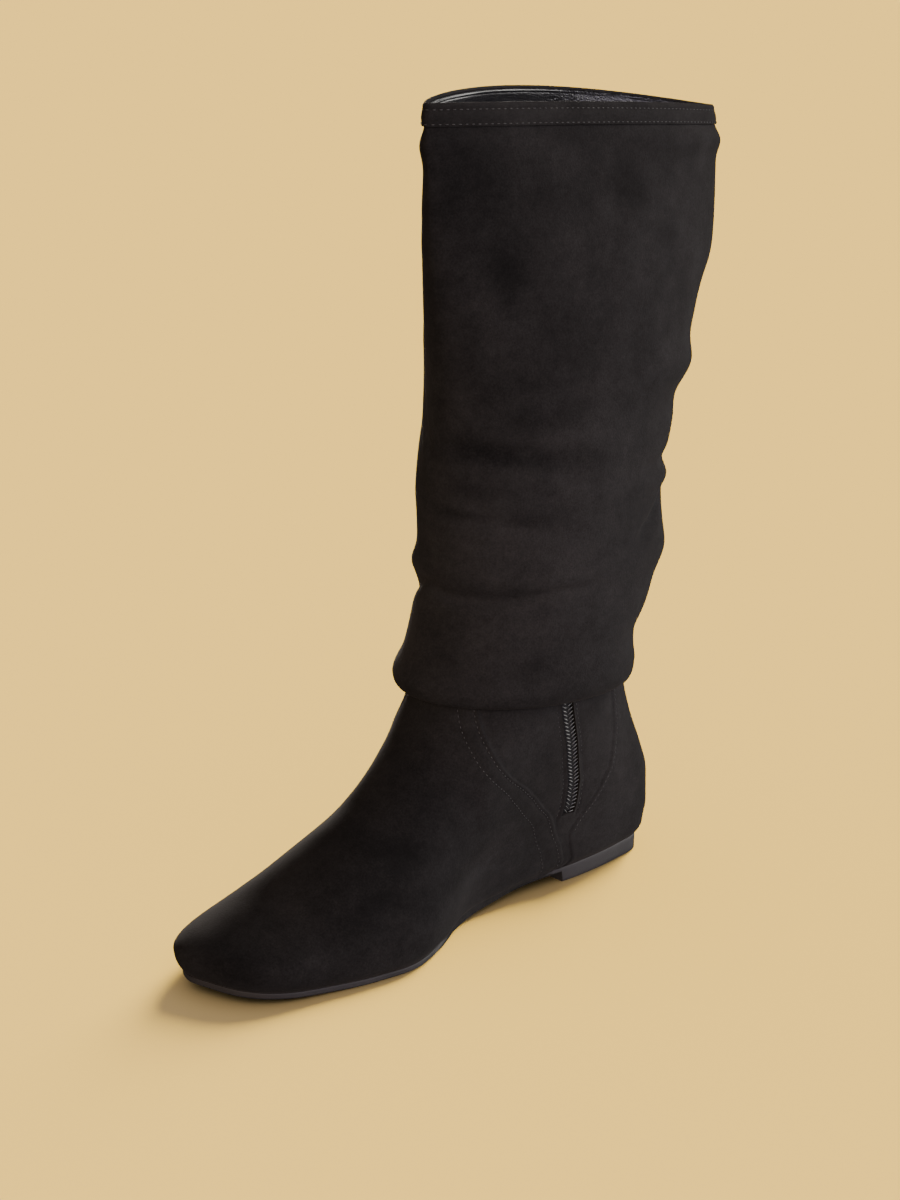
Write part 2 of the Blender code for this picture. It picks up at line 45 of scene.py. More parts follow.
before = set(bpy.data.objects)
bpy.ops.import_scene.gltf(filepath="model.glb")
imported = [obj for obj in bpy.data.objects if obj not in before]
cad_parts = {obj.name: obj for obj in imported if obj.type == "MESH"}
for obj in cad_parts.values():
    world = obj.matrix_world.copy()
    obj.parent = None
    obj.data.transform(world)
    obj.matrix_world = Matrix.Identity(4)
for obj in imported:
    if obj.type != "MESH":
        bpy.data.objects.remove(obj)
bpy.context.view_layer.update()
BODY = "root"

HEEL_Y = 0.1062
SOLE_LENGTH = 0.2580
HEEL_BREAST = 0.0612
BREAST_SLOPE = 0.0008
WAIST_RISE = 0.0052
WAIST_CHAMFER = 0.0024
BALL_BACK = 0.1480
TOE_BREAK = 0.1900
TOE_SPRING = 0.0050
UPPER_WALL = 0.0018
UPPER_WIDEST = 0.0090
UPPER_TOP = 0.1200
INNER_FULLNESS = 2.2
OUTER_FULLNESS = 1.75
ANKLE_HALF = 0.0355
ANKLE_LIFT = 0.0850
ANKLE_ROUND = 0.0480
OVAL_START = 0.0500
OVAL_FULL = 0.0950
RIDGE_X = 0.0010
RIDGE_BACK = 0.1500
RIDGE_FRONT = 0.2400
PANEL_STEP = 0.0007
SHAFT_WALL = 0.0016
COLLAR_HEIGHT = 0.3675
ROLL_HEIGHT = 0.1092
ROLL_DEPTH = 0.0068
SEAM_RISE = 0.0100
RETURN_EASE = 0.0003
RETURN_FLARE = 0.0012
INNER_ARCH = 0.35
INSOLE_THICKNESS = 0.0035
INSOLE_INSET = 0.0037
ZIP_SLOT = 0.0078
SLOT_FOOT = 0.3
ZIP_BOTTOM = 0.0310
ZIP_TAPE_WIDTH = 0.0160
ZIP_TAPE_THICKNESS = 0.0008
ZIP_TAPE_FOOT = 0.0050
GAP = 0.0003
PLAN_POINTS = 480

SHAFT_COLUMNS = 312
SHAFT_ROWS = 156
LINING_ROWS = 60
BEAD_ROWS = 22
BEAD_ZONE = 0.0040
WRINKLE_ROWS = 18
WRINKLE_ZONE = 0.0140
RIM_DROP = 0.0006
SHAFT_TOP = COLLAR_HEIGHT - RIM_DROP
SHAFT_ANGLES = np.arange(SHAFT_COLUMNS) * 360 / SHAFT_COLUMNS
CREASE_LIP_DROP = 2.2
CREASE_LIP_WIDTH = 1.5
LINING_CREASES = 0.6
ANKLE_CLIMB = 8
FINE_LIFT = 0.0200
PANEL_EDGE = 0.0012
ZIP_FADE = 0.0040
VAMP_ROW = 0.0099
VAMP_ROW_SPREAD = 0.0025
VAMP_ROW_LIFT = 0.0660
VAMP_ROW_RUN = 0.0160
EDGE_STITCH = 0.0024
ZIP_STITCH = 0.0064
STITCH_TOP = 0.1000
STITCH_SINK = 0.3
COIL_SPREAD = 0.0018
COIL_SHIFT = 0.0002
COIL_DEPTH = 0.0002
SOLE_BEVEL = 0.0007
TREAD_PITCH = 0.0064
COVER_END = 0.1530
COVER_FADE = 0.0220
COVER_FLARE = 0.2
SOLE_ROW = 0.0008
TREAD_MARGIN = 0.12
INSOLE_EDGE = 0.7
HEEL_CUP = 0.0006
FORE_CUP = 0.0003
CUP_FRONT = 0.0700
CUP_RUN = 0.0500
TAPE_RISE = 0.0013
TAPE_MARGIN = 0.0005
TAPE_RUN = 0.0008
TAPE_FOOT_MARGIN = 0.0006
TAPE_FOOT_RUN = 0.0010
COIL_FOOT = 0.0009
COIL_HEAD = 0.0020

Edge = namedtuple("Edge", "station inner outer")
SOLE_EDGE = (
    Edge(0.0000, 0.0000, 0.0000),
    Edge(0.0050, 0.0195, -0.0160),
    Edge(0.0240, 0.0247, -0.0256),
    Edge(0.0520, 0.0253, -0.0285),
    Edge(0.0950, 0.0208, -0.0305),
    Edge(0.1300, 0.0242, -0.0345),
    Edge(0.1500, 0.0341, -0.0377),
    Edge(0.1700, 0.0408, -0.0406),
    Edge(0.1920, 0.0384, -0.0421),
    Edge(0.2150, 0.0321, -0.0405),
    Edge(0.2340, 0.0256, -0.0353),
    Edge(0.2440, 0.0189, -0.0304),
    Edge(0.2505, 0.0107, -0.0256),
    Edge(0.2555, -0.0020, -0.0200),
    Edge(0.2580, -0.0120, -0.0120),
)

Top = namedtuple("Top", "station height")
SOLE_TOP = (
    Top(0.000, 0.0084),
    Top(0.030, 0.0081),
    Top(0.062, 0.0077),
    Top(0.100, 0.0051),
    Top(0.148, 0.0032),
    Top(0.190, 0.0030),
    Top(0.225, 0.0043),
    Top(0.258, 0.0077),
)

Slice = namedtuple("Slice", "lift back front swell")
FOOT_SLICES = (
    Slice(0.0000, 0.0000, 0.2580, -0.0003),
    Slice(0.0036, -0.0004, 0.2584, 0.0021),
    Slice(0.0090, -0.0010, 0.2580, 0.0031),
    Slice(0.0120, -0.0015, 0.2568, 0.0033),
    Slice(0.0154, -0.0021, 0.2512, 0.0035),
    Slice(0.0215, -0.0031, 0.2362, 0.0030),
    Slice(0.0285, -0.0038, 0.2196, 0.0026),
    Slice(0.0355, -0.0035, 0.2076, 0.0027),
    Slice(0.0435, -0.0016, 0.1952, 0.0023),
    Slice(0.0514, 0.0008, 0.1826, 0.0019),
    Slice(0.0592, 0.0036, 0.1692, 0.0015),
    Slice(0.0690, 0.0071, 0.1570, 0.0013),
    Slice(0.0796, 0.0105, 0.1432, 0.0011),
    Slice(0.0922, 0.0135, 0.1322, 0.0011),
    Slice(0.1040, 0.0150, 0.1272, 0.0011),
    Slice(0.1200, 0.0155, 0.1240, 0.0011),
)

Seam = namedtuple("Seam", "lift counter zipper vamp")
SEAMS = (
    Seam(0.000, 0.0770, 0.0800, 0.0830),
    Seam(0.006, 0.0800, 0.0828, 0.0857),
    Seam(0.019, 0.0845, 0.0885, 0.0920),
    Seam(0.032, 0.0735, 0.0871, 0.0968),
    Seam(0.041, 0.0662, 0.0856, 0.1034),
    Seam(0.050, 0.0591, 0.0840, 0.1087),
    Seam(0.058, 0.0535, 0.0815, 0.1122),
    Seam(0.066, 0.0489, 0.0791, 0.1174),
    Seam(0.075, 0.0450, 0.0770, 0.1208),
    Seam(0.085, 0.0425, 0.0755, 0.1213),
    Seam(0.120, 0.0410, 0.0730, 0.1175),
)

# Cells of the foot between its seam lines, and whether they crowd towards either line.
Panel = namedtuple("Panel", "cells first last")
PANELS = (
    Panel(34, 1.0, 1.4),
    Panel(14, 1.3, 1.0),
    Panel(2, 1.0, 1.0),
    Panel(24, 1.0, 1.4),
    Panel(78, 1.4, 1.4),
    Panel(78, 1.4, 1.4),
    Panel(40, 1.4, 1.4),
    Panel(34, 1.4, 1.0),
)
SLOT_PANEL = 2

Section = namedtuple("Section", "height station half_length chord inner outer rise arch pinch")
SHAFT_SECTIONS = (
    Section(0.0980, 0.0738, 0.0656, 0.0000, 0.0450, 0.0450, 0.0045, 0.0000, 0.00),
    Section(0.1170, 0.0686, 0.0626, 0.0000, 0.0450, 0.0450, 0.0045, 0.0000, 0.00),
    Section(0.1410, 0.0598, 0.0637, 0.0000, 0.0450, 0.0460, 0.0045, 0.0000, 0.00),
    Section(0.1650, 0.0552, 0.0670, 0.0010, 0.0440, 0.0470, 0.0045, 0.0000, 0.00),
    Section(0.1950, 0.0559, 0.0684, 0.0020, 0.0425, 0.0475, 0.0045, 0.0000, 0.04),
    Section(0.2350, 0.0501, 0.0727, 0.0040, 0.0400, 0.0470, 0.0045, 0.0000, 0.10),
    Section(0.2740, 0.0450, 0.0819, 0.0060, 0.0330, 0.0460, 0.0046, 0.0005, 0.25),
    Section(0.3100, 0.0421, 0.0907, 0.0080, 0.0260, 0.0430, 0.0050, 0.0012, 0.42),
    Section(0.3430, 0.0447, 0.0919, 0.0108, 0.0185, 0.0375, 0.0058, 0.0035, 0.55),
    Section(0.3675, 0.0485, 0.0900, 0.0129, 0.0127, 0.0313, 0.0067, 0.0058, 0.65),
)

# Broad ridges and troughs of the slouched shaft.
Fold = namedtuple("Fold", "angle height slant reach spread depth")
SHAFT_FOLDS = (
    Fold(155.0, 0.1525, 0.0000, 50.0, 0.0050, -0.0024),
    Fold(212.0, 0.1480, -0.0004, 24.0, 0.0045, -0.0022),
    Fold(222.0, 0.1570, -0.0004, 30.0, 0.0064, 0.0026),
    Fold(215.0, 0.1110, 0.0000, 40.0, 0.0062, 0.0024),
    Fold(43.0, 0.1105, 0.0000, 40.0, 0.0055, 0.0020),
    Fold(43.0, 0.1270, 0.0000, 40.0, 0.0065, -0.0014),
    Fold(43.0, 0.1640, 0.0000, 40.0, 0.0090, 0.0022),
    Fold(57.0, 0.1815, -0.0005, 18.0, 0.0045, -0.0013),
    Fold(152.0, 0.1885, 0.0000, 30.0, 0.0055, -0.0012),
    Fold(43.0, 0.1985, 0.0000, 30.0, 0.0045, 0.0020),
    Fold(40.0, 0.2060, 0.0000, 30.0, 0.0045, -0.0018),
    Fold(148.0, 0.2195, 0.0001, 40.0, 0.0065, -0.0016),
    Fold(43.0, 0.2340, 0.0000, 35.0, 0.0065, -0.0016),
    Fold(43.0, 0.2500, 0.0000, 35.0, 0.0080, 0.0036),
    Fold(35.0, 0.2990, 0.0000, 40.0, 0.0120, 0.0014),
    Fold(20.0, 0.3510, 0.0000, 45.0, 0.0060, 0.0026),
    Fold(200.0, 0.3500, 0.0000, 40.0, 0.0060, 0.0018),
    Fold(318.0, 0.1600, 0.0001, 50.0, 0.0060, -0.0022),
    Fold(290.0, 0.1900, 0.0000, 40.0, 0.0065, -0.0018),
    Fold(320.0, 0.2180, 0.0001, 45.0, 0.0070, -0.0018),
)

# Sharper creases: the line that each follows as angles and heights, how far its ends fade, half its
# width, its depth and the lip that stands up below it.
Crease = namedtuple("Crease", "angles heights fade spread depth lip")
CREASES = (
    Crease((84, 108, 125, 142, 165, 196, 224), (0.1570, 0.1560, 0.1540, 0.1510, 0.1506, 0.1542, 0.1440),
           26, 0.0020, 0.0012, 0.0006),
    Crease((100, 120, 145, 170, 194), (0.2150, 0.2178, 0.2210, 0.2212, 0.2208), 26, 0.0032, 0.0007, 0.0005),
    Crease((122, 140, 153, 180), (0.1858, 0.1874, 0.1882, 0.1899), 16, 0.0024, 0.0007, 0.0004),
    Crease((150, 164, 182), (0.1986, 0.1990, 0.1996), 10, 0.0024, 0.0004, 0.0002),
    Crease((184, 192, 206), (0.2168, 0.2228, 0.2475), 6, 0.0040, 0.0008, 0.0005),
    Crease((184, 194, 210), (0.1982, 0.2010, 0.2075), 8, 0.0026, 0.0008, 0.0005),
    Crease((40, 52, 74), (0.1905, 0.1835, 0.1738), 9, 0.0026, 0.0011, 0.0007),
    Crease((38, 52, 70), (0.2320, 0.2285, 0.2260), 12, 0.0034, 0.0006, 0.0004),
    Crease((250, 285, 330), (0.1500, 0.1590, 0.1640), 26, 0.0026, 0.0010, 0.0005),
    Crease((270, 300, 345), (0.2080, 0.2170, 0.2150), 26, 0.0032, 0.0007, 0.0005),
    Crease((240, 262, 290), (0.1820, 0.1890, 0.1900), 18, 0.0026, 0.0006, 0.0004),
)

# Height of the bead under the rim round the shaft, as a share of its full height.
Bead = namedtuple("Bead", "angle height")
BEAD = (
    Bead(0, 0.12),
    Bead(40, 0.20),
    Bead(195, 0.50),
    Bead(215, 0.90),
    Bead(240, 0.80),
    Bead(250, 0.45),
    Bead(262, 0.65),
    Bead(275, 0.45),
    Bead(286, 0.20),
    Bead(330, 0.12),
    Bead(360, 0.12),
)

# Soft wrinkles of the lining below the rim, standing in from the shaft.
Wrinkle = namedtuple("Wrinkle", "angle drop slant reach spread depth")
LINING_WRINKLES = (
    Wrinkle(303, 0.0072, -0.00005, 18, 0.0050, 0.0021),
    Wrinkle(240, -0.0010, 0.00000, 24, 0.0050, 0.0012),
    Wrinkle(100, 0.0100, 0.00002, 40, 0.0050, 0.0016),
)

# Places where the shaft's suede is darker (positive) or lighter (negative) in colour.
# Some are the nap's own marks; the rest are painted shade along the creases and painted light and shade on
# the shaft's sides.
Patch = namedtuple("Patch", "angle height wide tall dark")
SHAFT_NAP_LIGHT_AND_SHADE = (
    Patch(134, 0.297, 8, 0.013, 0.62),
    Patch(83, 0.334, 6, 0.010, 0.50),
    Patch(140, 0.351, 10, 0.008, 0.22),
    Patch(62, 0.350, 10, 0.008, 0.18),
    Patch(118, 0.278, 9, 0.010, 0.26),
    Patch(115, 0.257, 9, 0.007, 0.30),
    Patch(131, 0.252, 9, 0.006, 0.26),
    Patch(155, 0.250, 9, 0.006, 0.26),
    Patch(114, 0.238, 8, 0.006, 0.24),
    Patch(144, 0.2190, 10, 0.0042, 0.55),
    Patch(150, 0.272, 10, 0.010, 0.15),
    Patch(133, 0.300, 12, 0.009, 0.22),
    Patch(145, 0.320, 22, 0.020, 0.22),
    Patch(140, 0.338, 45, 0.025, 0.22),
    Patch(150, 0.340, 18, 0.012, 0.20),
    Patch(102, 0.335, 12, 0.010, 0.20),
    Patch(84, 0.326, 9, 0.008, 0.20),
    Patch(134, 0.2350, 11, 0.005, 0.40),
    Patch(160, 0.2205, 16, 0.0042, 0.52),
    Patch(128, 0.2165, 14, 0.0042, 0.55),
    Patch(107, 0.2140, 8, 0.006, 0.15),
    Patch(148, 0.2035, 14, 0.004, 0.40),
    Patch(124, 0.1895, 12, 0.005, 0.40),
    Patch(166, 0.1905, 10, 0.004, 0.30),
    Patch(118, 0.123, 8, 0.008, 0.35),
    Patch(164, 0.124, 8, 0.012, 0.15),
    Patch(152, 0.1535, 24, 0.0035, 0.28),
    Patch(104, 0.267, 9, 0.010, 0.34),
    Patch(161, 0.287, 10, 0.012, 0.10),
    Patch(130, 0.165, 70, 0.050, -0.50),
    Patch(112, 0.347, 12, 0.007, -0.20),
    Patch(112, 0.311, 8, 0.010, -0.28),
    Patch(149, 0.134, 9, 0.010, -0.25),
    Patch(118, 0.205, 20, 0.006, -0.20),
    Patch(162, 0.243, 14, 0.012, -0.30),
    Patch(120, 0.2265, 25, 0.004, -0.25),
    Patch(36, 0.347, 8, 0.012, -0.25),
    Patch(50, 0.290, 24, 0.060, -0.15),
    Patch(205, 0.345, 16, 0.035, 0.60),
    Patch(200, 0.295, 14, 0.020, 0.20),
    Patch(203, 0.245, 14, 0.022, -0.85),
    Patch(208, 0.130, 16, 0.025, -0.95),
)

# The same on the inner side and top of the foot: nap marks with painted light and shade.
FootPatch = namedtuple("FootPatch", "lift girth wide tall dark")
FOOT_NAP_LIGHT_AND_SHADE = (
    FootPatch(0.053, 0.207, 0.013, 0.006, 0.40),
    FootPatch(0.036, 0.247, 0.014, 0.007, 0.15),
    FootPatch(0.029, 0.193, 0.011, 0.005, 0.20),
    FootPatch(0.030, 0.171, 0.012, 0.006, 0.40),
    FootPatch(0.0485, 0.189, 0.014, 0.006, 0.45),
    FootPatch(0.030, 0.225, 0.060, 0.040, 0.45),
    FootPatch(0.066, 0.158, 0.020, 0.014, 0.45),
    FootPatch(0.012, 0.290, 0.018, 0.012, 0.30),
    FootPatch(0.0335, 0.212, 0.012, 0.006, 0.25),
    FootPatch(0.026, 0.226, 0.012, 0.005, 0.30),
    FootPatch(0.020, 0.260, 0.014, 0.006, 0.15),
    FootPatch(0.010, 0.283, 0.012, 0.008, 0.25),
    FootPatch(0.040, 0.268, 0.012, 0.008, -0.20),
    FootPatch(0.032, 0.256, 0.010, 0.006, -0.20),
    FootPatch(0.022, 0.150, 0.014, 0.006, -0.20),
    FootPatch(0.056, 0.143, 0.012, 0.008, -0.18),
    FootPatch(0.055, 0.058, 0.024, 0.045, -0.46),
    FootPatch(0.038, 0.250, 0.016, 0.010, -0.40),
    FootPatch(0.010, 0.250, 0.012, 0.006, -0.20),
)

# Cross-section of the binding over the rim: out from the shaft's cloth, and up from the collar's height.
Fringe = namedtuple("Fringe", "out up")
BINDING = (
    Fringe(0.0003, -0.0084),
    Fringe(0.0006, -0.0089),
    Fringe(0.0010, -0.0088),
    Fringe(0.0012, -0.0083),
    Fringe(0.0011, -0.0078),
    Fringe(0.0013, -0.0070),
    Fringe(0.0015, -0.0056),
    Fringe(0.0014, -0.0042),
    Fringe(0.0012, -0.0030),
    Fringe(0.0009, -0.0024),
    Fringe(0.0008, -0.0019),
    Fringe(0.0010, -0.0012),
    Fringe(0.0009, -0.0004),
    Fringe(0.0006, 0.0000),
    Fringe(0.0002, 0.0003),
    Fringe(-0.0004, 0.0003),
    Fringe(-0.0009, 0.0000),
    Fringe(-0.0011, -0.0004),
    Fringe(-0.0010, -0.0005),
    Fringe(0.0002, -0.0005),
    Fringe(0.0003, -0.0030),
    Fringe(0.0003, -0.0060),
)
BAND_FACE = slice(2, 12)
COLLAR_ROWS = (
    Fringe(0.0009, -0.0021),
    Fringe(0.0012, -0.0079),
)

# Low ridges and grooves along an edge: distance past it, height and half width.
Ridge = namedtuple("Ridge", "past height width")
PANEL_RIDGES = (
    Ridge(0.0012, 0.00016, 0.0008),
    Ridge(-0.0011, -0.00014, 0.0010),
    Ridge(0.0026, -0.00016, 0.0009),
)
VAMP_RIDGE = (Ridge(0.0062, 0.00010, 0.0026),)
VAMP_GROOVE = (Ridge(0.0, -0.00018, 0.0011),)
ZIP_RIDGES = (
    Ridge(0.0062, -0.00045, 0.0009),
    Ridge(0.0042, 0.00035, 0.0011),
)
RIM_BEAD = (
    Ridge(0.0009, 0.0005, 0.0003),
    Ridge(0.0016, -0.0003, 0.0004),
)
UNDER_BAND = (Ridge(0.0150, 0.0003, 0.0042),)

# Unevenness of the cloth: height and size of its lumps, and a seed.
Lump = namedtuple("Lump", "height size seed")
FOOT_LUMPS = (Lump(0.00022, 0.020, 3.7),)
SHAFT_LUMPS = (
    Lump(0.00035, 0.030, 1.3),
    Lump(0.00018, 0.011, 8.1),
)
BAND_LUMPS = (Lump(0.00016, 0.012, 2.9),)

# Stretches of the sole, and how far each eases in and out.
Stretch = namedtuple("Stretch", "start rise end fall")
WAIST_TUCK = Stretch(0.0630, 0.006, 0.160, 0.016)
TREADS = (
    Stretch(0.008, 0.002, HEEL_BREAST - 0.006, 0.002),
    Stretch(0.138, 0.004, 0.236, 0.004),
)

# Steps by which the suede comes down over the inner waist, as shares of the side of the sole.
Cover = namedtuple("Cover", "start run share")
WAIST_COVER = (
    Cover(0.066, 0.008, 0.42),
    Cover(0.088, 0.016, 0.50),
)

# Side of the sole from tread to top: inset from the edge, height above the tread, share of the side.
Side = namedtuple("Side", "inset low share")
SOLE_SIDE = (
    Side(0.0002, 0.0003, 0.0),
    Side(0.0, 0.0008, 0.0),
    Side(0.0, 0.0, 0.30),
    Side(0.0, 0.0, 0.60),
    Side(0.0, 0.0, 0.90),
    Side(0.0001, 0.0, 0.97),
    Side(0.0003, 0.0, 1.0),
)


def column(rows, name):
    return np.array([getattr(row, name) for row in rows])


def smooth(at, stations, values):
    """Cubic through the rows with tangents from the neighbouring rows, held level beyond both ends."""
    slope = np.gradient(values, stations)
    at = np.clip(at, stations[0], stations[-1])
    row = np.clip(np.searchsorted(stations, at) - 1, 0, len(stations) - 2)
    step = stations[row + 1] - stations[row]
    t = (at - stations[row]) / step
    start = (1 + 2 * t) * (1 - t) ** 2 * values[row] + t * (1 - t) ** 2 * step * slope[row]
    finish = t ** 2 * (3 - 2 * t) * values[row + 1] + t ** 2 * (t - 1) * step * slope[row + 1]
    return start + finish


def table(rows, name, at):
    return smooth(at, column(rows, rows[0]._fields[0]), column(rows, name))


def ease(t):
    t = np.clip(t, 0, 1)
    return t * t * (3 - 2 * t)


def hump(distance, width):
    return np.exp(-(distance / width) ** 2)


def turned(angle, start):
    """Degrees from a start, the short way round."""
    return np.mod(angle - start + 180, 360) - 180


def between(at, start, rise, end, fall):
    """1 from a start to an end, easing in past the one and out before the other."""
    return ease((at - start) / rise) * ease((end - at) / fall)


def ridges(past, rows):
    """Height of low ridges and grooves at a distance past their edge."""
    return sum(row.height * hump(past - row.past, row.width) for row in rows)


def end_turn(station):
    """Angle that runs evenly round both ends of the sole, so that its heel and toe come out round."""
    return np.arccos(1 - 2 * np.clip(station / SOLE_LENGTH, 0, 1))


def sole_edge(station, side):
    return smooth(end_turn(station), end_turn(column(SOLE_EDGE, "station")), column(SOLE_EDGE, side))


def sole_top(station):
    return table(SOLE_TOP, "height", station)


def sole_floor(station):
    """Height of the tread: flat heel, arched waist, flat ball and a sprung toe."""
    waist = np.clip((station - HEEL_BREAST) / (BALL_BACK - HEEL_BREAST), 0, 1)
    arch = WAIST_RISE * (0.5 + 0.5 * np.cos(np.pi * waist))
    cut = np.clip((station - HEEL_BREAST) / BREAST_SLOPE, 0, 1)
    toe = np.clip((station - TOE_BREAK) / (SOLE_LENGTH - TOE_BREAK), 0, 1)
    return arch * cut + TOE_SPRING * toe ** 2


def waist_tuck(station):
    """How far the inner waist of the sole is tucked in under the suede, from 0 to 1."""
    return between(station, *WAIST_TUCK)


def waist_cover(station):
    """How far the suede comes down over the side of the inner waist."""
    share = sum(cover.share * ease((station - cover.start) / cover.run) for cover in WAIST_COVER)
    return (sole_top(station) - sole_floor(station)) * share * ease((COVER_END - station) / COVER_FADE)


def instep_lift(station):
    """Lift of the foot's ridge above the sole at a station, running on up the front of the ankle."""
    lifts = np.linspace(UPPER_TOP, UPPER_WIDEST, 400)
    fronts = table(FOOT_SLICES, "front", lifts)
    ankle = UPPER_TOP + ANKLE_CLIMB * np.maximum(fronts[0] - station, 0)
    return np.where(station < fronts[0], ankle, np.interp(station, fronts, lifts))


def foot_slice(lift, count):
    """Closed plan of the foot at one lift, from the back over the inner side to the toe and home."""
    back = table(FOOT_SLICES, "back", lift)
    front = SOLE_LENGTH if lift <= UPPER_WIDEST else table(FOOT_SLICES, "front", lift)
    swing = np.linspace(0, np.pi, count)
    station = back + (front - back) * (1 - np.cos(swing)) / 2
    on_sole = station - back * (1 - station / SOLE_LENGTH)
    ankle = ease(lift / ANKLE_LIFT)
    heel = np.sqrt(1 - np.clip(1 - on_sole / ANKLE_ROUND, 0, 1) ** 2)
    inner = sole_edge(on_sole, "inner") * (1 - ankle) + ANKLE_HALF * heel * ankle
    outer = sole_edge(on_sole, "outer") * (1 - ankle) - ANKLE_HALF * heel * ankle
    rise = np.maximum(lift - UPPER_WIDEST, 0)
    share = np.clip(rise / np.maximum(instep_lift(station) - UPPER_WIDEST, 1e-4), 0, 1)
    if rise > 0:
        share[-1] = 1
    centre = (inner + outer) / 2
    toe = ease((station - RIDGE_BACK) / (RIDGE_FRONT - RIDGE_BACK))
    middle = centre * (1 - share) + (centre * toe + RIDGE_X * (1 - toe)) * share
    nose = np.sqrt(1 - np.clip(1 - (front - station) / ANKLE_ROUND, 0, 1) ** 2)
    oval = ease((lift - OVAL_START) / (OVAL_FULL - OVAL_START))
    inner_cut = (1 - share ** INNER_FULLNESS) ** (1 / INNER_FULLNESS) * (1 - oval) + nose * oval
    outer_cut = (1 - share ** OUTER_FULLNESS) ** (1 / OUTER_FULLNESS) * (1 - oval) + nose * oval
    inner_half = (inner - centre) * inner_cut
    outer_half = (centre - outer) * outer_cut
    inner_half[1:-1] = np.maximum(inner_half[1:-1], 1e-5)
    x = np.concatenate((middle + inner_half, (middle - outer_half)[-2:0:-1]))
    station = np.concatenate((station, station[-2:0:-1]))
    return np.stack((x, station), axis=1)


def swelled(loop, amount):
    """Closed plan moved outwards square to itself."""
    along = np.roll(loop, -1, axis=0) - np.roll(loop, 1, axis=0)
    out = np.stack((along[:, 1], -along[:, 0]), axis=1)
    return loop + amount * out / np.linalg.norm(out, axis=1, keepdims=True)


def by_girth(loop, count):
    """Closed plan with its points evenly spaced from heel to toe on one side and back on the other."""
    half = len(loop) // 2
    points = []
    for part in (loop[:half + 1], np.vstack((loop[half:], loop[:1]))):
        run = np.concatenate(([0], np.cumsum(np.linalg.norm(np.diff(part, axis=0), axis=1))))
        at = np.linspace(0, run[-1], count + 1)[:-1]
        x = np.interp(at, run, part[:, 0])
        station = np.interp(at, run, part[:, 1])
        points.append(np.stack((x, station), axis=1))
    return np.vstack(points)


class FootSkin:
    """Outside of the foot as a fine grid over lift and girth, read back at any place and depth."""

    LIFTS = np.linspace(0, UPPER_TOP, 161)
    HALF = 240

    def __init__(self):
        rows = []
        girths = []
        for lift in self.LIFTS:
            loop = swelled(foot_slice(lift, PLAN_POINTS), table(FOOT_SLICES, "swell", lift))
            ring = by_girth(loop, self.HALF)
            girths.append(np.linalg.norm(np.diff(ring[:self.HALF + 1], axis=0), axis=1).sum())
            z = sole_top(ring[:, 1]) + GAP + lift
            rows.append(np.stack((ring[:, 0], HEEL_Y - ring[:, 1], z), axis=1))
        self.points = np.array(rows)
        self.girths = np.array(girths)
        around = np.roll(self.points, -1, axis=1) - np.roll(self.points, 1, axis=1)
        square = np.cross(np.gradient(self.points, axis=0), around)
        self.out = square / np.linalg.norm(square, axis=2, keepdims=True)

    def read(self, grid, lift, turn):
        row = np.clip(lift / UPPER_TOP, 0, 1) * (len(self.LIFTS) - 1)
        col = np.mod(turn, 2) * self.HALF
        low = np.minimum(row.astype(int), len(self.LIFTS) - 2)
        left = col.astype(int)
        v = (row - low)[..., None]
        u = (col - left)[..., None]
        left = left % (2 * self.HALF)
        right = (left + 1) % (2 * self.HALF)
        below = grid[low, left] * (1 - u) + grid[low, right] * u
        above = grid[low + 1, left] * (1 - u) + grid[low + 1, right] * u
        return below * (1 - v) + above * v

    def facing(self, lift, turn):
        return self.read(self.out, lift, turn)

    def at(self, lift, turn, depth=0.0):
        depth = np.broadcast_to(depth, np.shape(turn))[..., None]
        return self.read(self.points, lift, turn) + depth * self.read(self.out, lift, turn)

    def girth(self, lift):
        return np.interp(lift, self.LIFTS, self.girths)

    def turn(self, lift, girth):
        return girth / self.girth(lift)


@functools.lru_cache(maxsize=1)
def foot_skin():
    return FootSkin()


def crease_depth(height, angle):
    """How far the sharper creases move the shaft's cloth in or out."""
    move = np.zeros_like(height)
    for crease in CREASES:
        line = smooth(angle, np.array(crease.angles, dtype=float), np.array(crease.heights))
        there = between(angle, crease.angles[0], crease.fade, crease.angles[-1], crease.fade)
        level = height - line
        lip = hump(level + CREASE_LIP_DROP * crease.spread, CREASE_LIP_WIDTH * crease.spread)
        move = move - there * crease.depth * hump(level, crease.spread)
        move = move + there * crease.lip * lip
    return move


def section(name, height):
    return table(SHAFT_SECTIONS, name, height)


def spread_out(height, angle):
    """Heights and shaft angles as two grids of one shape."""
    return np.broadcast_arrays(np.asarray(height, dtype=float), np.asarray(angle, dtype=float))


def shaft_half(height, sine):
    """Half the width of the shaft on the side to which a sine points."""
    return np.where(sine > 0, section("inner", height), section("outer", height))


def shaft_facing(height, angle):
    """Level direction out of the shaft's cloth."""
    height, angle = spread_out(height, angle)
    sine = np.sin(np.radians(angle))
    cosine = np.cos(np.radians(angle))
    across = sine / shaft_half(height, sine)
    along = cosine / section("half_length", height)
    out = np.stack((across, along, np.zeros_like(sine)), axis=-1)
    return out / np.linalg.norm(out, axis=-1, keepdims=True)


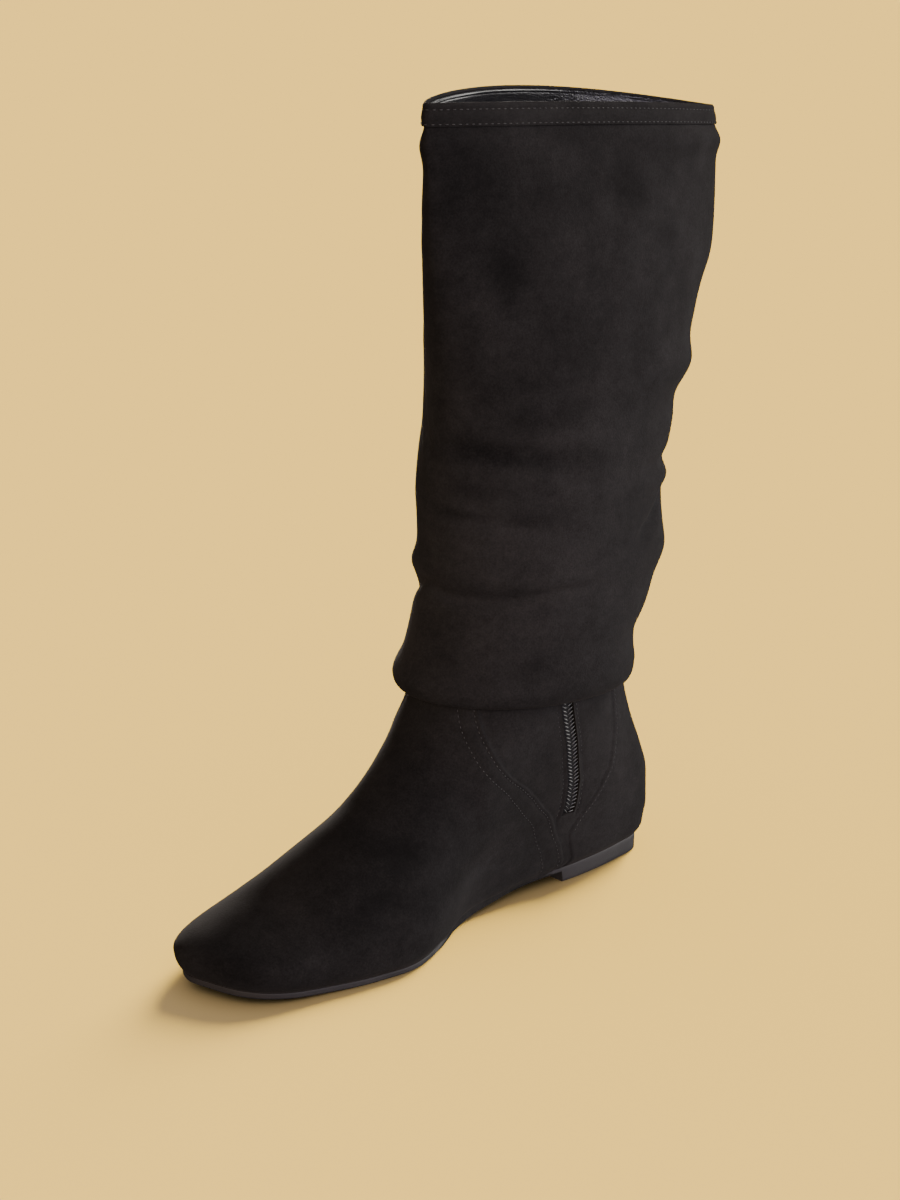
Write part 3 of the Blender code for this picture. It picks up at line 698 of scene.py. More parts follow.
def shaft_cloth_at(height, angle, depth=0.0, crease=1.0):
    """Points of the shaft's outside with its folds and creases, moved outwards by a depth."""
    height, angle = spread_out(height, np.mod(angle, 360))
    sine = np.sin(np.radians(angle))
    cosine = np.cos(np.radians(angle))
    pinch = section("pinch", height)
    x = section("chord", height) + shaft_half(height, sine) * sine * (1 - pinch + pinch * np.abs(sine))
    station = section("station", height) - section("half_length", height) * cosine
    out = shaft_facing(height, angle)
    move = depth + crease * crease_depth(height, angle)
    for fold in SHAFT_FOLDS:
        away = turned(angle, fold.angle)
        level = height - fold.height - fold.slant * away
        move = move + fold.depth * hump(away, fold.reach) * hump(level, fold.spread)
    arch = section("arch", height) * np.where(sine > 0, INNER_ARCH, 1) * sine ** 2
    z = height - section("rise", height) * cosine + arch
    return np.stack((x + move * out[..., 0], HEEL_Y - station + move * out[..., 1], z), axis=-1)


def lining_relief(drop, angle):
    """How far the lining stands in from the shaft: a bead and a groove under the rim, and wrinkles."""
    relief = ridges(drop, RIM_BEAD)[:, None] * table(BEAD, "height", angle)[None, :]
    for wrinkle in LINING_WRINKLES:
        away = turned(angle, wrinkle.angle)
        level = drop[:, None] - wrinkle.drop - wrinkle.slant * away[None, :]
        relief = relief + wrinkle.depth * hump(away, wrinkle.reach)[None, :] * hump(level, wrinkle.spread)
    return relief


def uneven(points, size, seed):
    """Soft unevenness from -1 to 1 over a grid of points, in lumps of about the given size."""
    flat = points.reshape(-1, 3) / size + seed
    return np.array([noise.noise(Vector(p)) for p in flat]).reshape(points.shape[:-1])


def lumpy(points, lumps):
    """Height of a cloth's lumps over a grid of points."""
    return sum(lump.height * uneven(points, lump.size, lump.seed) for lump in lumps)


def added(name, data):
    """New object in the scene for a mesh, a light or a camera."""
    made = bpy.data.objects.new(name, data)
    bpy.context.scene.collection.objects.link(made)
    return made


def make_mesh(name, points, faces, finishes, which=None):
    """Closed mesh with its faces pointing out, smooth but for its corners."""
    mesh = bpy.data.meshes.new(name)
    mesh.from_pydata(np.asarray(points, dtype=float).tolist(), [], faces)
    for finish in finishes:
        mesh.materials.append(finish)
    if which is not None:
        mesh.polygons.foreach_set("material_index", np.asarray(which, dtype=np.int32))
    body = bmesh.new()
    body.from_mesh(mesh)
    bmesh.ops.remove_doubles(body, verts=body.verts, dist=1e-7)
    bmesh.ops.recalc_face_normals(body, faces=body.faces)
    body.to_mesh(mesh)
    body.free()
    mesh.shade_smooth()
    mesh.set_sharp_from_angle(angle=math.radians(50))
    return added(name, mesh)


def store(piece, name, values):
    """Keeps one number for each vertex on a piece, for its finish to read."""
    held = piece.data.attributes.new(name, "FLOAT", "POINT")
    held.data.foreach_set("value", np.asarray(values, dtype=np.float32))


def ring_faces(rows, cols, close_rows):
    """Faces of a grid whose rows close on themselves, and whose columns may."""
    faces = []
    for row in range(rows if close_rows else rows - 1):
        above = (row + 1) % rows
        for col in range(cols):
            ahead = (col + 1) % cols
            faces.append((row * cols + col, row * cols + ahead, above * cols + ahead, above * cols + col))
    return faces


def two_sided(outside, inside, kept):
    """Points and faces of a cloth with closed borders, and 1 for each face on its inside.

    The columns close on themselves, and cells that aren't kept leave an opening."""
    rows, cols = outside.shape[:2]
    behind = rows * cols
    faces = []
    which = []
    for row, col in np.argwhere(kept).tolist():
        ring = ((row, col), (row, col + 1), (row + 1, col + 1), (row + 1, col))
        corners = [r * cols + c % cols for r, c in ring]
        faces.append(corners)
        faces.append([behind + corner for corner in reversed(corners)])
        which.extend((0, 1))
        beside = ((row - 1, col), (row, col + 1), (row + 1, col), (row, col - 1))
        for step, (r, c) in enumerate(beside):
            if not (0 <= r < rows - 1 and kept[r, c % cols]):
                one, two = corners[step], corners[(step + 1) % 4]
                faces.append([two, one, behind + one, behind + two])
                which.append(0)
    return np.concatenate((outside.reshape(-1, 3), inside.reshape(-1, 3))), faces, which


def fitted(piece, node):
    """Seats a finished piece on the boot in place of one of its solids."""
    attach(piece, BODY)
    if node:
        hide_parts(node)


def new_node(tree, kind, inputs=None, **settings):
    """Node added to a tree, with some of its settings and input values."""
    made = tree.nodes.new(kind)
    for name, value in settings.items():
        setattr(made, name, value)
    for socket, value in (inputs or {}).items():
        made.inputs[socket].default_value = value
    return made


def tint(colour, share):
    return tuple(min(1.0, channel * share) for channel in colour)


class Finish:
    """A procedural finish: one Principled shader, and textures on the piece's own coordinates."""

    def __init__(self, name, **values):
        self.made = bpy.data.materials.new(name)
        self.made.use_nodes = True
        self.tree = self.made.node_tree
        self.shader = self.tree.nodes["Principled BSDF"]
        self.place = self.node("ShaderNodeTexCoord").outputs["Object"]
        for socket, value in values.items():
            given = self.shader.inputs[socket.replace("_", " ")]
            given.default_value = (*value, 1.0) if isinstance(value, tuple) else value

    def node(self, kind, inputs=None, **settings):
        return new_node(self.tree, kind, inputs, **settings)

    def link(self, source, target):
        self.tree.links.new(source, target)

    def noise(self, scale, detail=2.0, rough=0.5, stretch=None):
        place = self.place
        if stretch:
            mapping = self.node("ShaderNodeMapping", {"Scale": stretch})
            self.link(self.place, mapping.inputs["Vector"])
            place = mapping.outputs["Vector"]
        made = self.node("ShaderNodeTexNoise", {"Scale": scale, "Detail": detail, "Roughness": rough})
        self.link(place, made.inputs["Vector"])
        return made.outputs["Fac"]

    def cells(self, scale):
        made = self.node("ShaderNodeTexVoronoi", {"Scale": scale}, feature="DISTANCE_TO_EDGE")
        self.link(self.place, made.inputs["Vector"])
        return made.outputs["Distance"]

    def attribute(self, name):
        return self.node("ShaderNodeAttribute", attribute_name=name).outputs["Fac"]

    def sum(self, *weighted):
        """Weighted sum of several textures, given as pairs of socket and weight."""
        total = None
        for socket, weight in weighted:
            step = self.node("ShaderNodeMath", {1: weight, 2: 0.0}, operation="MULTIPLY_ADD")
            self.link(socket, step.inputs[0])
            if total is not None:
                self.link(total, step.inputs[2])
            total = step.outputs[0]
        return total

    def colours(self, source, base, stops):
        """Base colour from a texture, given as pairs of its value and the share of the base."""
        ramp = self.node("ShaderNodeValToRGB")
        points = ramp.color_ramp.elements
        while len(points) < len(stops):
            points.new(0.5)
        for point, (position, share) in zip(points, stops):
            point.position = position
            point.color = (*tint(base, share), 1.0)
        self.link(source, ramp.inputs["Fac"])
        self.link(ramp.outputs["Color"], self.shader.inputs["Base Color"])

    def range(self, source, socket, low, high):
        made = self.node("ShaderNodeMapRange", {"To Min": low, "To Max": high})
        self.link(source, made.inputs["Value"])
        self.link(made.outputs["Result"], self.shader.inputs[socket])

    def relief(self, *layers):
        """Bumps laid on each other, given as height socket, height in metres and strength."""
        normal = None
        for source, distance, strength in layers:
            bump = self.node("ShaderNodeBump", {"Strength": strength, "Distance": distance})
            self.link(source, bump.inputs["Height"])
            if normal is not None:
                self.link(normal, bump.inputs["Normal"])
            normal = bump.outputs["Normal"]
        self.link(normal, self.shader.inputs["Normal"])


def brushed_suede(name, looks, with_nap_light_and_shade):
    """Short brushed pile: clouds where the nap was stroked, and a fine fibrous grain."""
    finish = Finish(name, Roughness=0.95, Sheen_Weight=looks.suede_sheen, Sheen_Roughness=0.45,
                    Sheen_Tint=tuple(looks.suede_sheen_tint), Specular_IOR_Level=0.10)
    clouds = finish.noise(30.0, 3.0, 0.55)
    strokes = finish.noise(85.0, 4.0, 0.6, (1.0, 1.0, 1.4))
    mottle = finish.noise(330.0, 3.0, 0.6)
    grain = finish.noise(1100.0, 2.0, 0.65)
    layers = [(clouds, 0.32), (strokes, 0.24), (mottle, 0.20), (grain, 0.34)]
    # Stored marks: nap, with painted shade where positive and painted light where negative.
    if with_nap_light_and_shade:
        layers.append((finish.attribute("nap"), -0.28))
    stops = ((0.25, 0.28), (0.37, 0.47), (0.496, 0.82), (0.586, 1.12), (0.71, 1.60), (0.85, 2.20))
    finish.colours(finish.sum(*layers), looks.suede, stops)
    finish.relief((strokes, 0.0010, 0.08), (grain, 0.00030, 0.38))
    return finish.made


def lining_leather(name, looks):
    """Smooth black lining with a fine pebbled grain and a soft gloss."""
    finish = Finish(name, Coat_Weight=0.35, Coat_Roughness=0.20, Specular_IOR_Level=0.5)
    wrinkle = finish.noise(70.0, 3.0, 0.6, (1.0, 1.0, 2.4))
    pebble = finish.cells(900.0)
    rub = finish.noise(160.0, 2.0)
    finish.colours(finish.sum((wrinkle, 0.6), (rub, 0.4)), looks.lining, ((0.30, 0.7), (0.70, 1.4)))
    finish.range(rub, "Roughness", 0.24, 0.38)
    finish.relief((wrinkle, 0.0016, 0.35), (pebble, 0.00040, 0.80))
    return finish.made


def moulded_rubber(name, looks):
    """Satin moulded rubber with a dusty grain and faint rubs."""
    finish = Finish(name, Specular_IOR_Level=0.22)
    dust = finish.noise(60.0, 4.0, 0.6)
    grain = finish.noise(1800.0, 1.0)
    stops = ((0.32, 0.80), (0.52, 1.0), (0.72, 1.25))
    finish.colours(finish.sum((dust, 0.75), (grain, 0.25)), looks.rubber, stops)
    finish.range(dust, "Roughness", 0.48, 0.68)
    finish.relief((grain, 0.00012, 0.35))
    return finish.made


def woven_tape(name, looks):
    """Black tape with a fine woven rib."""
    finish = Finish(name, Roughness=0.85, Specular_IOR_Level=0.25)
    rib = finish.noise(900.0, 1.0, 0.5, (1.0, 1.0, 2.6))
    finish.colours(rib, looks.zip_tape, ((0.35, 0.6), (0.65, 1.5)))
    finish.relief((rib, 0.0003, 0.6))
    return finish.made


def coil_nylon(name, looks):
    """Glossy black nylon of the zip coil, given a grey base colour as painted highlight for its glints."""
    finish = Finish(name, Coat_Weight=0.25, Coat_Roughness=0.15, Specular_IOR_Level=0.6)
    rub = finish.noise(500.0, 2.0)
    finish.colours(rub, looks.zip_coil, ((0.35, 0.8), (0.65, 1.3)))
    finish.range(rub, "Roughness", 0.22, 0.36)
    finish.relief((rub, 0.0001, 0.2))
    return finish.made


def sewing_thread(name, looks):
    """Twisted polyester thread."""
    finish = Finish(name, Roughness=0.6, Specular_IOR_Level=0.28)
    twist = finish.noise(1400.0, 1.0)
    finish.colours(twist, looks.thread, ((0.35, 0.7), (0.65, 1.35)))
    finish.relief((twist, 0.0002, 0.5))
    return finish.made


def crowded(cells, first, last):
    """Shares from 0 up to but not including 1, closer together towards either end."""
    share = np.arange(cells) / cells
    low = 0.5 * (2 * share) ** first
    high = 1 - 0.5 * (2 * (1 - share)) ** last
    return np.where(share < 0.5, low, high)


def foot_lines(skin, lifts):
    """Turns of the heel, counter, zip edges, vamp and toe lines at each lift, and home again."""
    counter = skin.turn(lifts, table(SEAMS, "counter", lifts))
    vamp = skin.turn(lifts, table(SEAMS, "vamp", lifts))
    zipper = table(SEAMS, "zipper", lifts)
    half_slot = ZIP_SLOT / 2 * (SLOT_FOOT + (1 - SLOT_FOOT) * ease(lifts / ZIP_BOTTOM))
    rear = skin.turn(lifts, zipper - half_slot)
    fore = skin.turn(lifts, zipper + half_slot)
    heel = np.zeros_like(lifts)
    return heel, counter, rear, fore, vamp, heel + 1, 2 - vamp, 2 - counter, heel + 2


def second_row(lift):
    """Girth from the vamp's edge to its second row of stitches."""
    return VAMP_ROW + VAMP_ROW_SPREAD * ease((VAMP_ROW_LIFT - lift) / VAMP_ROW_RUN)


def panel_depth(skin, lift, turn):
    """Height of the vamp and the counter over the quarters, with rolled edges along the seams."""
    inner_turn = np.where(turn > 1, 2 - turn, turn)
    girth = inner_turn * skin.girth(lift)
    past_vamp = girth - table(SEAMS, "vamp", lift)
    past_counter = table(SEAMS, "counter", lift) - girth
    depth = np.zeros_like(turn)
    for past in (past_vamp, past_counter):
        depth = np.maximum(depth, 0.5 * PANEL_STEP * ease(past / PANEL_EDGE + 0.5))
    for past in (past_vamp, past_counter):
        depth = depth + ridges(past, PANEL_RIDGES)
    depth = depth + ridges(past_vamp - second_row(lift), VAMP_GROOVE) + ridges(past_vamp, VAMP_RIDGE)
    beside_zip = np.abs(girth - table(SEAMS, "zipper", lift))
    on_zip = (turn < 1) * ease((lift - ZIP_BOTTOM + ZIP_FADE) / ZIP_FADE)
    return depth + on_zip * ridges(beside_zip, ZIP_RIDGES)


class BootSizes(bpy.types.PropertyGroup):
    """Sizes of the sewing, the zip and the creases."""

    stitch_pitch: bpy.props.FloatProperty(
        name="Stitch pitch", description="Distance from one stitch to the next round the collar",
        default=0.0031, min=0.001, unit="LENGTH")
    seam_pitch: bpy.props.FloatProperty(
        name="Seam pitch", description="Distance from one stitch to the next on the foot",
        default=0.0025, min=0.001, unit="LENGTH")
    stitch_share: bpy.props.FloatProperty(
        name="Stitch share", description="Share of the pitch over which the thread shows",
        default=0.50, min=0.1, max=0.95, subtype="FACTOR")
    thread_radius: bpy.props.FloatProperty(
        name="Thread radius", description="Half the thickness of the thread",
        default=0.00022, min=0.0001, unit="LENGTH")
    coil_pitch: bpy.props.FloatProperty(
        name="Coil pitch", description="Distance from one turn of the zip coil to the next",
        default=0.00205, min=0.0005, unit="LENGTH")
    coil_length: bpy.props.FloatProperty(
        name="Coil turn length", description="Length of one turn of the zip coil",
        default=0.0034, min=0.0005, unit="LENGTH")
    coil_radius: bpy.props.FloatProperty(
        name="Coil radius", description="Half the thickness of the zip coil's wire",
        default=0.00022, min=0.0001, unit="LENGTH")
    fore_slant: bpy.props.FloatProperty(
        name="Fore slant", description="Angle of the front row's turns to the line of the zip",
        default=math.radians(50), subtype="ANGLE")
    rear_slant: bpy.props.FloatProperty(
        name="Rear slant", description="Angle of the rear row's turns to the line of the zip",
        default=math.radians(-76), subtype="ANGLE")
    crease_depth: bpy.props.FloatProperty(
        name="Crease depth", description="How strongly the sharper creases of the shaft show",
        default=1.0, min=0.0, max=2.0, subtype="FACTOR")
    tread_depth: bpy.props.FloatProperty(
        name="Tread depth", description="Depth of the fine grooves under the sole",
        default=0.0006, min=0.0, unit="LENGTH")
    lining_ripple: bpy.props.FloatProperty(
        name="Lining ripple", description="How far the lining of the shaft ripples",
        default=0.0007, min=0.0, unit="LENGTH")


class BootLooks(bpy.types.PropertyGroup):
    """Colours of the boot's finishes and of the stage."""

    suede: bpy.props.FloatVectorProperty(
        name="Suede", description="Colour of the brushed suede cloth",
        subtype="COLOR", size=3, min=0.0, max=1.0, default=(0.0117, 0.0111, 0.0108))
    suede_sheen: bpy.props.FloatProperty(
        name="Suede sheen", description="How far the pile glows where it is seen edge on",
        subtype="FACTOR", min=0.0, max=1.0, default=0.04)
    suede_sheen_tint: bpy.props.FloatVectorProperty(
        name="Suede sheen tint", description="Colour of the pile's glow",
        subtype="COLOR", size=3, min=0.0, max=1.0, default=(0.60, 0.50, 0.42))
    lining: bpy.props.FloatVectorProperty(
        name="Lining", description="Colour of the lining inside the shaft and foot",
        subtype="COLOR", size=3, min=0.0, max=1.0, default=(0.012, 0.012, 0.013))
    rubber: bpy.props.FloatVectorProperty(
        name="Rubber", description="Colour of the sole",
        subtype="COLOR", size=3, min=0.0, max=1.0, default=(0.0215, 0.0198, 0.0194))
    zip_tape: bpy.props.FloatVectorProperty(
        name="Zip tape", description="Colour of the tape behind the zip",
        subtype="COLOR", size=3, min=0.0, max=1.0, default=(0.010, 0.010, 0.010))
    # Grey rather than black: painted highlight for the glints on the coil's black nylon.
    zip_coil: bpy.props.FloatVectorProperty(
        name="Zip coil", description="Colour of the zip coil",
        subtype="COLOR", size=3, min=0.0, max=1.0, default=(0.074, 0.076, 0.070))
    thread: bpy.props.FloatVectorProperty(
        name="Thread", description="Colour of the sewing thread",
        subtype="COLOR", size=3, min=0.0, max=1.0, default=(0.032, 0.031, 0.030))
    floor: bpy.props.FloatVectorProperty(
        name="Floor", description="Colour of the floor",
        subtype="COLOR", size=3, min=0.0, max=1.0, default=(0.96, 0.76, 0.37))


class BOOT_OT_foot(bpy.types.Operator):
    """Make the foot of the boot: vamp, quarters and counter with their lining."""

    bl_idname = "boot.foot"
    bl_label = "Foot"

    def execute(self, context):
        looks = context.scene.boot_looks
        skin = foot_skin()
        lifts = np.concatenate((np.linspace(0, FINE_LIFT, 24, endpoint=False),
                                np.linspace(FINE_LIFT, ZIP_BOTTOM, 9, endpoint=False),
                                np.linspace(ZIP_BOTTOM, UPPER_TOP, 62)))
        lines = foot_lines(skin, lifts)
        turns = []
        slot = []
        for number, panel in enumerate(PANELS):
            for share in crowded(*panel):
                turns.append(lines[number] * (1 - share) + lines[number + 1] * share)
                slot.append(number == SLOT_PANEL)
        turn = np.array(turns).T
        lift = np.repeat(lifts[:, None], turn.shape[1], axis=1)
        lumps = lumpy(skin.at(lift, turn), FOOT_LUMPS) * ease(lift / 0.01)
        outside = skin.at(lift, turn, panel_depth(skin, lift, turn) + lumps)
        inside = skin.at(lift, turn, -UPPER_WALL)
        for face in (outside, inside):
            face[0, :, 2] = sole_top(HEEL_Y - face[0, :, 1]) + GAP
        cover = np.where(turn[0] < 1, waist_cover(HEEL_Y - outside[0, :, 1]), 0)
        outside[0, :, 0] += COVER_FLARE * cover
        outside[0, :, 2] -= cover
        kept = np.ones((len(lifts) - 1, len(slot)), dtype=bool)
        kept[np.ix_(lifts[:-1] >= ZIP_BOTTOM - 1e-6, slot)] = False
        points, faces, which = two_sided(outside, inside, kept)
        piece = make_mesh("foot_upper", points, faces,
                          (brushed_suede("foot_suede", looks, True),
                           lining_leather("foot_lining", looks)), which)
        girth = turn * skin.girth(lift)
        # Nap marks with painted light and shade on the foot's suede, kept as a number for each vertex.
        nap = np.zeros((2,) + turn.shape)
        for patch in FOOT_NAP_LIGHT_AND_SHADE:
            across = hump(girth - patch.girth, patch.wide)
            nap[0] += patch.dark * across * hump(lift - patch.lift, patch.tall)
        store(piece, "nap", nap.reshape(-1))
        fitted(piece, "upper")
        return {"FINISHED"}


class BOOT_OT_shaft(bpy.types.Operator):
    """Make the shaft: its seam on the foot, the rolled fold, the slouched cloth and the lining."""

    bl_idname = "boot.shaft"
    bl_label = "Shaft"

    def execute(self, context):
        looks = context.scene.boot_looks
        sizes = context.scene.boot_sizes
        heights = np.linspace(ROLL_HEIGHT, SHAFT_TOP, SHAFT_ROWS)
        outside, inside = self.roll(sizes.crease_depth)
        outside.extend(self.cloth(heights, sizes.crease_depth))
        rows = np.array(outside + list(self.lining(sizes.lining_ripple)) + inside[::-1])
        which = np.repeat(np.arange(len(rows)) >= len(outside) - 1, SHAFT_COLUMNS)
        piece = make_mesh("shaft_cloth", rows.reshape(-1, 3), ring_faces(len(rows), SHAFT_COLUMNS, True),
                          (brushed_suede("shaft_brushed_suede", looks, True),
                           lining_leather("shaft_lining", looks)), which)
        # Nap marks with painted light and shade on the shaft's suede, kept as a number for each vertex.
        nap = np.zeros((len(rows), SHAFT_COLUMNS))
        cloth = slice(len(outside) - SHAFT_ROWS, len(outside))
        for patch in SHAFT_NAP_LIGHT_AND_SHADE:
            across = hump(turned(SHAFT_ANGLES, patch.angle), patch.wide)
            nap[cloth] += patch.dark * across[None, :] * hump(heights - patch.height, patch.tall)[:, None]
        store(piece, "nap", nap.reshape(-1))
        fitted(piece, "shaft")
        return {"FINISHED"}

    def roll(self, crease):
        """Rows of the cloth from its seam on the foot down and round the fold, outside and inside."""
        skin = foot_skin()
        fold = shaft_cloth_at(ROLL_HEIGHT, SHAFT_ANGLES, 0.0, crease)
        lift = fold[:, 2] - sole_top(HEEL_Y - fold[:, 1]) - GAP
        outside = []
        inside = []
        for share in np.linspace(1.0, 0.0, 6):
            clear = PANEL_STEP + GAP + RETURN_EASE + RETURN_FLARE * (1 - share)
            rise = lift + SEAM_RISE * share
            outside.append(skin.at(rise, SHAFT_ANGLES / 180, clear))
            inside.append(skin.at(rise, SHAFT_ANGLES / 180, clear + SHAFT_WALL))
        middle = (fold + outside[-1]) / 2
        reach = (fold - outside[-1]) / 2
        slim = reach * (1 - SHAFT_WALL / np.linalg.norm(reach[:, :2], axis=1, keepdims=True))
        up = np.array((0, 0, 1.0))
        for bend in np.radians(np.linspace(168, 12, 14)):
            outside.append(middle + reach * np.cos(bend) - up * ROLL_DEPTH * np.sin(bend))
            inside.append(middle + slim * np.cos(bend) - up * (ROLL_DEPTH - SHAFT_WALL) * np.sin(bend))
        return outside, inside

    def cloth(self, heights, crease):
        """Rows of the slouched cloth from the roll to the rim, slightly uneven."""
        points = shaft_cloth_at(heights[:, None], SHAFT_ANGLES, 0.0, crease)
        calm = between(heights, ROLL_HEIGHT, 0.004, SHAFT_TOP, 0.008)
        below_band = ridges(COLLAR_HEIGHT - heights, UNDER_BAND)
        move = lumpy(points, SHAFT_LUMPS) * calm[:, None] + below_band[:, None]
        return points + move[..., None] * shaft_facing(heights[:, None], SHAFT_ANGLES)

    def lining(self, ripple):
        """Rows of the lining from the rim down to the roll, with its bead, wrinkles and ripples."""
        levels = np.concatenate((
            np.linspace(SHAFT_TOP, SHAFT_TOP - BEAD_ZONE, BEAD_ROWS, endpoint=False),
            np.linspace(SHAFT_TOP - BEAD_ZONE, SHAFT_TOP - WRINKLE_ZONE, WRINKLE_ROWS, endpoint=False),
            np.linspace(SHAFT_TOP - WRINKLE_ZONE, ROLL_HEIGHT, LINING_ROWS)))
        drop = SHAFT_TOP - levels
        points = shaft_cloth_at(levels[:, None], SHAFT_ANGLES, -SHAFT_WALL, LINING_CREASES)
        waves = ripple * (0.5 + 0.5 * uneven(points * np.array((1, 1, 2.2)), 0.026, 5.5))
        move = waves * ease(drop / 0.006)[:, None] + lining_relief(drop, SHAFT_ANGLES)
        return points - move[..., None] * shaft_facing(levels[:, None], SHAFT_ANGLES)


class BOOT_OT_collar(bpy.types.Operator):
    """Make the stitched band that binds the rim of the shaft."""

    bl_idname = "boot.collar"
    bl_label = "Collar band"

    def execute(self, context):
        looks = context.scene.boot_looks
        rows = []
        for fringe in BINDING:
            ring = shaft_cloth_at(COLLAR_HEIGHT + fringe.up, SHAFT_ANGLES, fringe.out)
            ring[:, 2] += max(0.0, fringe.up)
            rows.append(ring)
        rows = np.array(rows)
        lumps = lumpy(rows, BAND_LUMPS)
        rows[BAND_FACE] += lumps[BAND_FACE, :, None] * shaft_facing(COLLAR_HEIGHT, SHAFT_ANGLES)[None]
        piece = make_mesh("collar_binding", rows.reshape(-1, 3),
                          ring_faces(len(rows), SHAFT_COLUMNS, True),
                          (brushed_suede("band_brushed_suede", looks, False),))
        fitted(piece, "collar_band")
        return {"FINISHED"}


class BOOT_OT_sole(bpy.types.Operator):
    """Make the moulded sole with its fine tread, and the footbed inside."""

    bl_idname = "boot.sole"
    bl_label = "Sole and footbed"

    def execute(self, context):
        looks = context.scene.boot_looks
        sizes = context.scene.boot_sizes
        first, last = 0.006, 0.2400
        station = SOLE_LENGTH * (1 - np.cos(np.linspace(0.012, np.pi - 0.012, 120))) / 2
        fine = np.arange(first, last, SOLE_ROW)
        exact = np.array((HEEL_BREAST, HEEL_BREAST + BREAST_SLOPE, BALL_BACK, TOE_BREAK))
        station = np.concatenate((station[(station < first) | (station > last)], fine))
        near = np.min(np.abs(station[:, None] - exact), axis=1)
        station = np.sort(np.concatenate((station[near > SOLE_ROW / 2], exact)))
        inner = sole_edge(station, "inner")
        outer = sole_edge(station, "outer")
        floor = sole_floor(station)
        side = sole_top(station) - floor
        treaded = sum(between(station, *tread) for tread in TREADS)
        groove = sizes.tread_depth * treaded * (0.5 + 0.5 * np.cos(2 * np.pi * station / TREAD_PITCH)) ** 3
        half = (inner - outer) / 2
        middle = (inner + outer) / 2
        tuck = WAIST_CHAMFER * waist_tuck(station)
        profile = []
        for across in np.linspace(-1, 1, 13):
            tread = groove * ease((1 - abs(across)) / TREAD_MARGIN)
            profile.append((middle + across * (half - SOLE_BEVEL), floor + tread))
        for row in SOLE_SIDE:
            profile.append((inner - (row.inset + tuck * row.share), floor + row.low + side * row.share))
        for row in reversed(SOLE_SIDE):
            profile.append((outer + row.inset, floor + row.low + side * row.share))
        self.loft("sole_unit", station, profile, moulded_rubber("sole_moulded_rubber", looks),
                  "outsole", "sole_rubber")
        self.footbed(looks)
        return {"FINISHED"}

    def loft(self, name, station, profile, finish, node, slot):
        """Solid through one cross-section for each station, closed at both ends."""
        x = np.stack([np.broadcast_to(place[0], station.shape) for place in profile], axis=1)
        z = np.stack([np.broadcast_to(place[1], station.shape) for place in profile], axis=1)
        y = np.repeat(HEEL_Y - station[:, None], len(profile), axis=1)
        rows = np.stack((x, y, z), axis=-1)
        count = len(profile)
        faces = ring_faces(len(station), count, False)
        faces.append(tuple(range(count)))
        faces.append(tuple(range((len(station) - 1) * count, len(station) * count)))
        fitted(make_mesh(name, rows.reshape(-1, 3), faces, (finish,)), node)

    def footbed(self, looks):
        edge = SOLE_LENGTH * (1 - np.cos(np.linspace(0, np.pi, PLAN_POINTS))) / 2
        x = np.concatenate((sole_edge(edge, "inner"), sole_edge(edge, "outer")[-2:0:-1]))
        along = np.concatenate((edge, edge[-2:0:-1]))
        loop = swelled(np.stack((x, along), axis=1), -INSOLE_INSET)
        sides = (loop[:PLAN_POINTS], np.vstack((loop[PLAN_POINTS - 1:], loop[:1]))[::-1])
        station = INSOLE_INSET + ((SOLE_LENGTH - 2 * INSOLE_INSET)
                                  * (1 - np.cos(np.linspace(0.04, np.pi - 0.04, 140))) / 2)
        inner, outer = (np.interp(station, side[:, 1], side[:, 0]) for side in sides)
        bottom = sole_top(station) + GAP
        half = (inner - outer) / 2
        middle = (inner + outer) / 2
        cup = HEEL_CUP * ease((CUP_FRONT - station) / CUP_RUN) + FORE_CUP
        profile = [(inner, bottom), (inner, bottom + INSOLE_THICKNESS * INSOLE_EDGE)]
        for across in np.linspace(0.97, -0.97, 15):
            dish = cup * (1 - across ** 2)
            profile.append((middle + half * across, bottom + INSOLE_THICKNESS - dish))
        profile += [(outer, bottom + INSOLE_THICKNESS * INSOLE_EDGE), (outer, bottom)]
        self.loft("footbed", station, profile, lining_leather("footbed_lining", looks),
                  "insole", "insole_lining")


